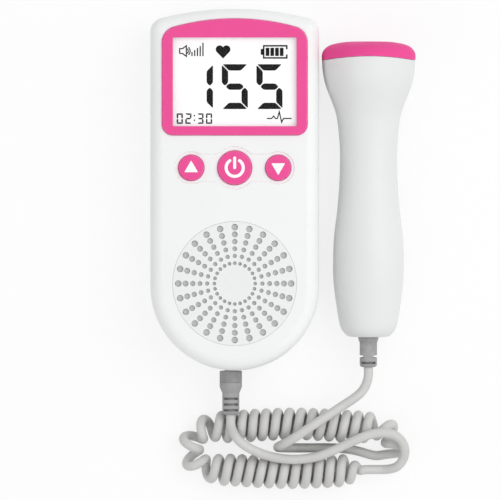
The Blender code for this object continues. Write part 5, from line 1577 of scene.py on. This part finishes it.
def smooth_curve(points, start_way=None, end_way=None, steps=16):
    """A smooth curve through the points, its speed and bend unbroken at each."""
    knots = np.array(points)
    gaps = np.linalg.norm(np.diff(knots, axis=0), axis=1) ** 0.5
    total = len(knots)
    matrix, sums = np.eye(total), np.zeros((total, 3))
    for end, way, chord in ((0, start_way, knots[1] - knots[0]), (-1, end_way, knots[-1] - knots[-2])):
        way = chord if way is None else np.array(way)
        sums[end] = np.linalg.norm(chord) / gaps[end] * way / np.linalg.norm(way)
    for i in range(1, total - 1):
        before, after = gaps[i - 1], gaps[i]
        matrix[i, i - 1:i + 2] = after, 2 * (before + after), before
        before_way, after_way = (knots[i] - knots[i - 1]) / before, (knots[i + 1] - knots[i]) / after
        sums[i] = 3 * (after * before_way + before * after_way)
    speeds = np.linalg.solve(matrix, sums)
    curve = []
    for i in range(total - 1):
        for t in np.arange(steps) / steps:
            curve.append(
                (2 * t ** 3 - 3 * t ** 2 + 1) * knots[i] + (t ** 3 - 2 * t ** 2 + t) * gaps[i] * speeds[i]
                + (3 * t ** 2 - 2 * t ** 3) * knots[i + 1] + (t ** 3 - t ** 2) * gaps[i] * speeds[i + 1]
            )
    return np.array(curve + [knots[-1]])


def probe_knots():
    sizes = settings("probe")
    return [(sizes.head_radius * radius, sizes.length * place) for place, radius in PROBE_OUTLINE]


def probe_tilt():
    """The tilt at which the probe lies on its head and its tail, and its axis height at the tail."""
    points = probe_knots()
    half = settings("probe").length / 2
    for tail_radius, tail in points:
        for head_radius, head in points:
            if tail >= half or head <= half:
                continue
            slope = (head_radius - tail_radius) / (head - tail)
            if all(radius <= tail_radius + slope * (place - tail) + MM * 0.001 for radius, place in points):
                tilt = math.atan(slope)
                return tilt, tail_radius * math.cos(tilt) - tail * math.sin(tilt)
    raise RuntimeError("the probe has no two places to lie on")


def probe_place():
    """The probe's own frame: +Z runs along its axis from the tail, and -X faces the table."""
    tilt, height = probe_tilt()
    turn = Matrix(((0, 1, 0), (0, 0, 1), (1, 0, 0))).to_4x4()
    spot = (middle("probe_cap").x, settings("probe").tail_place, height)
    return Matrix.Translation(spot) @ Matrix.Rotation(tilt, 4, "X") @ turn


def probe_skin(name):
    """The whole probe as one turned, hollow skin, in its own frame."""
    sizes = settings("probe")
    wall, total, knots = sizes.wall, sizes.length, probe_knots()
    curve = smooth_curve([(radius, 0, place) for radius, place in knots], (1, 0, 0), (-1, 0, 0), 5)
    outer = profile(name, (0, 0), *[(p[0], p[2]) for p in curve], (0, total)).lathe(96)
    inner = [(r - wall, z) for r, z in knots if 2 * wall < z < total - 2 * wall and r > 2 * wall]
    pen = profile("hollow", (0, wall), (inner[0][0] - MM, wall), *inner)
    cut(outer, pen.to((inner[-1][0] - 3 * MM, total - wall), (0, total - wall)).lathe(48))
    return cut(outer, rod("bore", sizes.neck_radius + 0.2 * MM, -MM, 3 * wall, 32))


def cap_region(offset):
    """Everything on the face's side of the arched seam, in the probe's own frame."""
    sizes = settings("probe")
    reach, end = sizes.head_radius + OVERRUN, sizes.length + OVERRUN
    arc_z = sizes.length - sizes.cap_length + offset - sizes.cap_arc
    half = math.asin(reach / sizes.cap_arc)
    pen = Pen("cap_region", (reach, arc_z + sizes.cap_arc * math.cos(half)), upright=True)
    region = pull(pen.turn((0, arc_z), 2 * half, 48).to((-reach, end), (reach, end)).fill(), 0, 2 * reach)
    return set_in_place(region, Matrix.Rotation(QUARTER, 4, "Z") @ Matrix.Translation((0, -reach, 0)))


class DOPPLER_OT_probe_cap(Operator):
    """Model the pink cap on the probe's face, with its arched seam"""

    bl_idname = "doppler.probe_cap"
    bl_label = "Probe cap"

    def execute(self, context):
        cap = combine(probe_skin("probe_face_cap"), cap_region(0), "INTERSECT")
        finish(shade(set_in_place(cap, probe_place())), "cap_moulding", "pink_plastic", "probe_cap")
        return {"FINISHED"}


class DOPPLER_OT_probe_shells(Operator):
    """Model the two half shells of the probe, split at its middle plane and at the cap"""

    bl_idname = "doppler.probe_shells"
    bl_label = "Probe shells"

    def execute(self, context):
        sizes = settings("probe")
        reach, end = sizes.head_radius + OVERRUN, sizes.length + OVERRUN
        for name, side in (("upper", 1), ("lower", -1)):
            shell = cut(probe_skin(f"probe_{name}_half"), cap_region(-sizes.seam))
            near, far = sorted((side * sizes.seam / 2, -side * reach))
            half = profile("half", (near, -OVERRUN), (far, -OVERRUN), (far, end), (near, end)).fill()
            cut(shell, move(pull(half, 0, 2 * reach), y=-reach))
            shade(set_in_place(shell, probe_place()))
            finish(shell, "probe_plastic", "white_plastic", f"probe_{name}_shell")
        return {"FINISHED"}


class DOPPLER_OT_gland(Operator):
    """Turn the ribbed gland that holds the cord at the probe's tail"""

    bl_idname = "doppler.gland"
    bl_label = "Gland"

    def execute(self, context):
        sizes = settings("probe")
        out, end, edge, flange = -CLEARANCE, -sizes.gland_length, 0.3 * MM, 4.1 * MM
        neck, flare, sleeve = sizes.neck_radius, sizes.flare_radius, sizes.gland_radius
        inner, drop, slope = sizes.wall + CLEARANCE, sleeve - sizes.gland_end, sizes.flare_length
        deep = inner + 1.6 * MM
        pen = profile("gland", (0, deep), (flange, deep), (flange, inner), (neck, inner), (neck, out))
        pen.to((flare - edge, out), (flare, out - edge), (flare * 0.93, out - slope * 0.6), (sleeve, out - slope))
        pen.to((sleeve, end + drop)).turn((sizes.gland_end, end + drop), -QUARTER, 6)
        gland = pen.to((0, end)).lathe(64)
        cut_slot(gland, sleeve, -sizes.gland_groove)
        cut_slot(gland, sleeve, -(sizes.gland_groove + sizes.gland_pitch), QUARTER)
        shade(set_in_place(gland, probe_place()), 40)
        finish(gland, "sleeve_rubber", "grey_rubber", "probe_gland")
        return {"FINISHED"}


# The cord


def evenly(points, step):
    """The same line with its points an even step apart."""
    run = np.concatenate([[0], np.cumsum(np.linalg.norm(np.diff(points, axis=0), axis=1))])
    places = np.linspace(0, run[-1], max(round(run[-1] / step), 2) + 1)
    return np.stack([np.interp(places, run, column) for column in points.T], 1)


def coil_line():
    """The line that the curls wind about, seen from above: the front run, the left turn, the rear run
    and most of the right turn, which make a ring."""
    sizes = settings("cord")
    step, left, right = sizes.step, sizes.left_turn, sizes.right_turn

    def run(places, side):
        bow = sizes.bow * (1 - np.cos(2 * math.pi * (places - left) / (right - left))) / 2
        return list(zip(places, sizes.coil_middle + side * (sizes.turn_radius + bow)))

    def turn(x, start, end):
        return [
            (x + sizes.turn_radius * math.cos(a), sizes.coil_middle + sizes.turn_radius * math.sin(a))
            for a in np.linspace(start, end, 101)
        ]

    line = run(np.arange(right, left, -step), -1) + turn(left, -QUARTER, -3 * QUARTER)[:-1]
    line += run(np.arange(left, right, step), 1) + turn(right, QUARTER, sizes.end_turn)
    return evenly(np.array(line), step)


def coil_points():
    """The curls' middle line. It starts straight at the unit lead and opens into curls. At the turns
    the curls are smaller and spread, to stay clear on the inside. It ends straight, on the table."""
    sizes = settings("cord")
    line = coil_line()
    ways = np.gradient(line, axis=0)
    ways /= np.linalg.norm(ways, axis=1)[:, None]
    sides = np.stack([-ways[:, 1], ways[:, 0]], 1)
    bends = np.abs(np.gradient(np.unwrap(np.arctan2(ways[:, 1], ways[:, 0])), sizes.step))
    window = np.hanning(sizes.smoothing)
    bends = np.convolve(np.pad(bends, sizes.smoothing // 2, mode="edge"), window / window.sum(), "valid")
    runs = np.arange(len(line)) * sizes.step
    points, run, turn = [], 0, -QUARTER
    while run <= runs[-1]:
        ease = min(max((run - sizes.diameter) / sizes.ramp, 0), 1)
        ease = ease * ease * (3 - 2 * ease)
        bend = min(sizes.bend_lead * np.interp(run, runs, bends), 1 / sizes.turn_radius)
        turned = bend * sizes.turn_radius
        radius = sizes.curl_radius + (sizes.turn_curl_radius - sizes.curl_radius) * turned
        pitch = sizes.curl_pitch * (1 + sizes.looser * (1 - ease)) * (1 + sizes.turn_room * turned)
        centre = [np.interp(run, runs, line[:, k]) for k in (0, 1)]
        side = [np.interp(run, runs, sides[:, k]) for k in (0, 1)]
        out = ease * radius * math.cos(turn)
        height = sizes.coil_foot + radius + ease * radius * math.sin(turn)
        points.append((centre[0] + out * side[0], centre[1] + out * side[1], height))
        run += pitch / (1 - bend * radius) / sizes.curl_points
        turn -= 2 * math.pi / sizes.curl_points
    last_low = (len(points) - 1) // sizes.curl_points * sizes.curl_points
    points = np.array(points[:last_low + 1])
    way = (points[-1] - points[-2]) * (1, 1, 0)
    return np.vstack([points, points[-1] + way / np.linalg.norm(way) * sizes.diameter])


def end_stretch(end, way, overlap=0.0):
    """The straight last stretch of a lead that meets another end or reaches into it a little."""
    way = np.array(way) / np.linalg.norm(way)
    return [tuple(np.array(end) + way * reach) for reach in (-overlap, settings("cord").diameter)]


def cord_route():
    """The cord's middle line from the probe's gland to the plug, unbroken."""
    plug, coil, place = settings("plug"), coil_points(), probe_place()
    axis = place.to_3x3() @ Vector((0, 0, 1))
    gland_end = place @ Vector((0, 0, -settings("probe").gland_length))
    plug_end = (plug.across, PLUG_Y - (plug.head + plug.taper + plug.sleeve_length), SEAM_Z)
    start, end = coil[0] - coil[1], coil[-1] - coil[-2]
    probe_route = [*end_stretch(coil[-1], end), *np.array(PROBE_LEAD_POINTS) * MM]
    probe_route += end_stretch(gland_end, -axis, 0.3 * MM)[::-1]
    unit_route = [*end_stretch(plug_end, (0, -1, 0), 0.3 * MM), *np.array(UNIT_LEAD_POINTS) * MM]
    unit_route += end_stretch(coil[0], start)[::-1]
    probe_lead = smooth_curve(probe_route, end, axis)
    unit_lead = smooth_curve(unit_route, (0, -1, 0), -start)
    return np.concatenate([probe_lead[::-1], coil[::-1][1:-1], unit_lead[::-1]])


class DOPPLER_OT_cord(Operator):
    """Lay the one unbroken cord: from the probe's gland through the curls to the plug"""

    bl_idname = "doppler.cord"
    bl_label = "Curly cord"

    def execute(self, context):
        route, diameter = cord_route(), settings("cord").diameter
        curve = bpy.data.curves.new("curly_cord", "CURVE")
        curve.dimensions = "3D"
        curve.bevel_depth, curve.bevel_resolution = diameter / 2, 5
        curve.use_fill_caps = True
        spline = curve.splines.new("POLY")
        spline.points.add(len(route) - 1)
        spline.points.foreach_set("co", np.column_stack([route, np.ones(len(route))]).ravel())
        cord = bpy.data.objects.new("curly_cord", curve)
        context.scene.collection.objects.link(cord)
        finish(cord, "cord_jacket", "cord_rubber", "probe_lead", "cord_coil", "unit_lead")
        return {"FINISHED"}


OPERATORS = (
    DOPPLER_OT_stage, DOPPLER_OT_front_casing, DOPPLER_OT_rear_casing, DOPPLER_OT_battery_door,
    DOPPLER_OT_case_screws, DOPPLER_OT_display_frame, DOPPLER_OT_display_figures, DOPPLER_OT_buttons,
    DOPPLER_OT_grille, DOPPLER_OT_speaker_cloth, DOPPLER_OT_inner_finishes, DOPPLER_OT_plug,
    DOPPLER_OT_cord, DOPPLER_OT_probe_cap, DOPPLER_OT_probe_shells, DOPPLER_OT_gland,
)


class DOPPLER_PT_steps(Panel):
    """Every modelling step, in order"""

    bl_idname = "DOPPLER_PT_steps"
    bl_label = "Doppler monitor"
    bl_space_type = "VIEW_3D"
    bl_region_type = "UI"
    bl_category = "Doppler"

    def draw(self, context):
        for step in OPERATORS:
            self.layout.operator(step.bl_idname)


CLASSES = (*GROUPS.values(), *OPERATORS, DOPPLER_PT_steps)


def register():
    for made in CLASSES:
        bpy.utils.register_class(made)
    for name, group in GROUPS.items():
        setattr(bpy.types.Scene, name, PointerProperty(type=group))


def unregister():
    for name in GROUPS:
        delattr(bpy.types.Scene, name)
    for made in reversed(CLASSES):
        bpy.utils.unregister_class(made)


def main():
    register()
    for step in OPERATORS:
        getattr(bpy.ops.doppler, step.bl_idname.split(".")[1])()


if __name__ == "__main__":
    main()
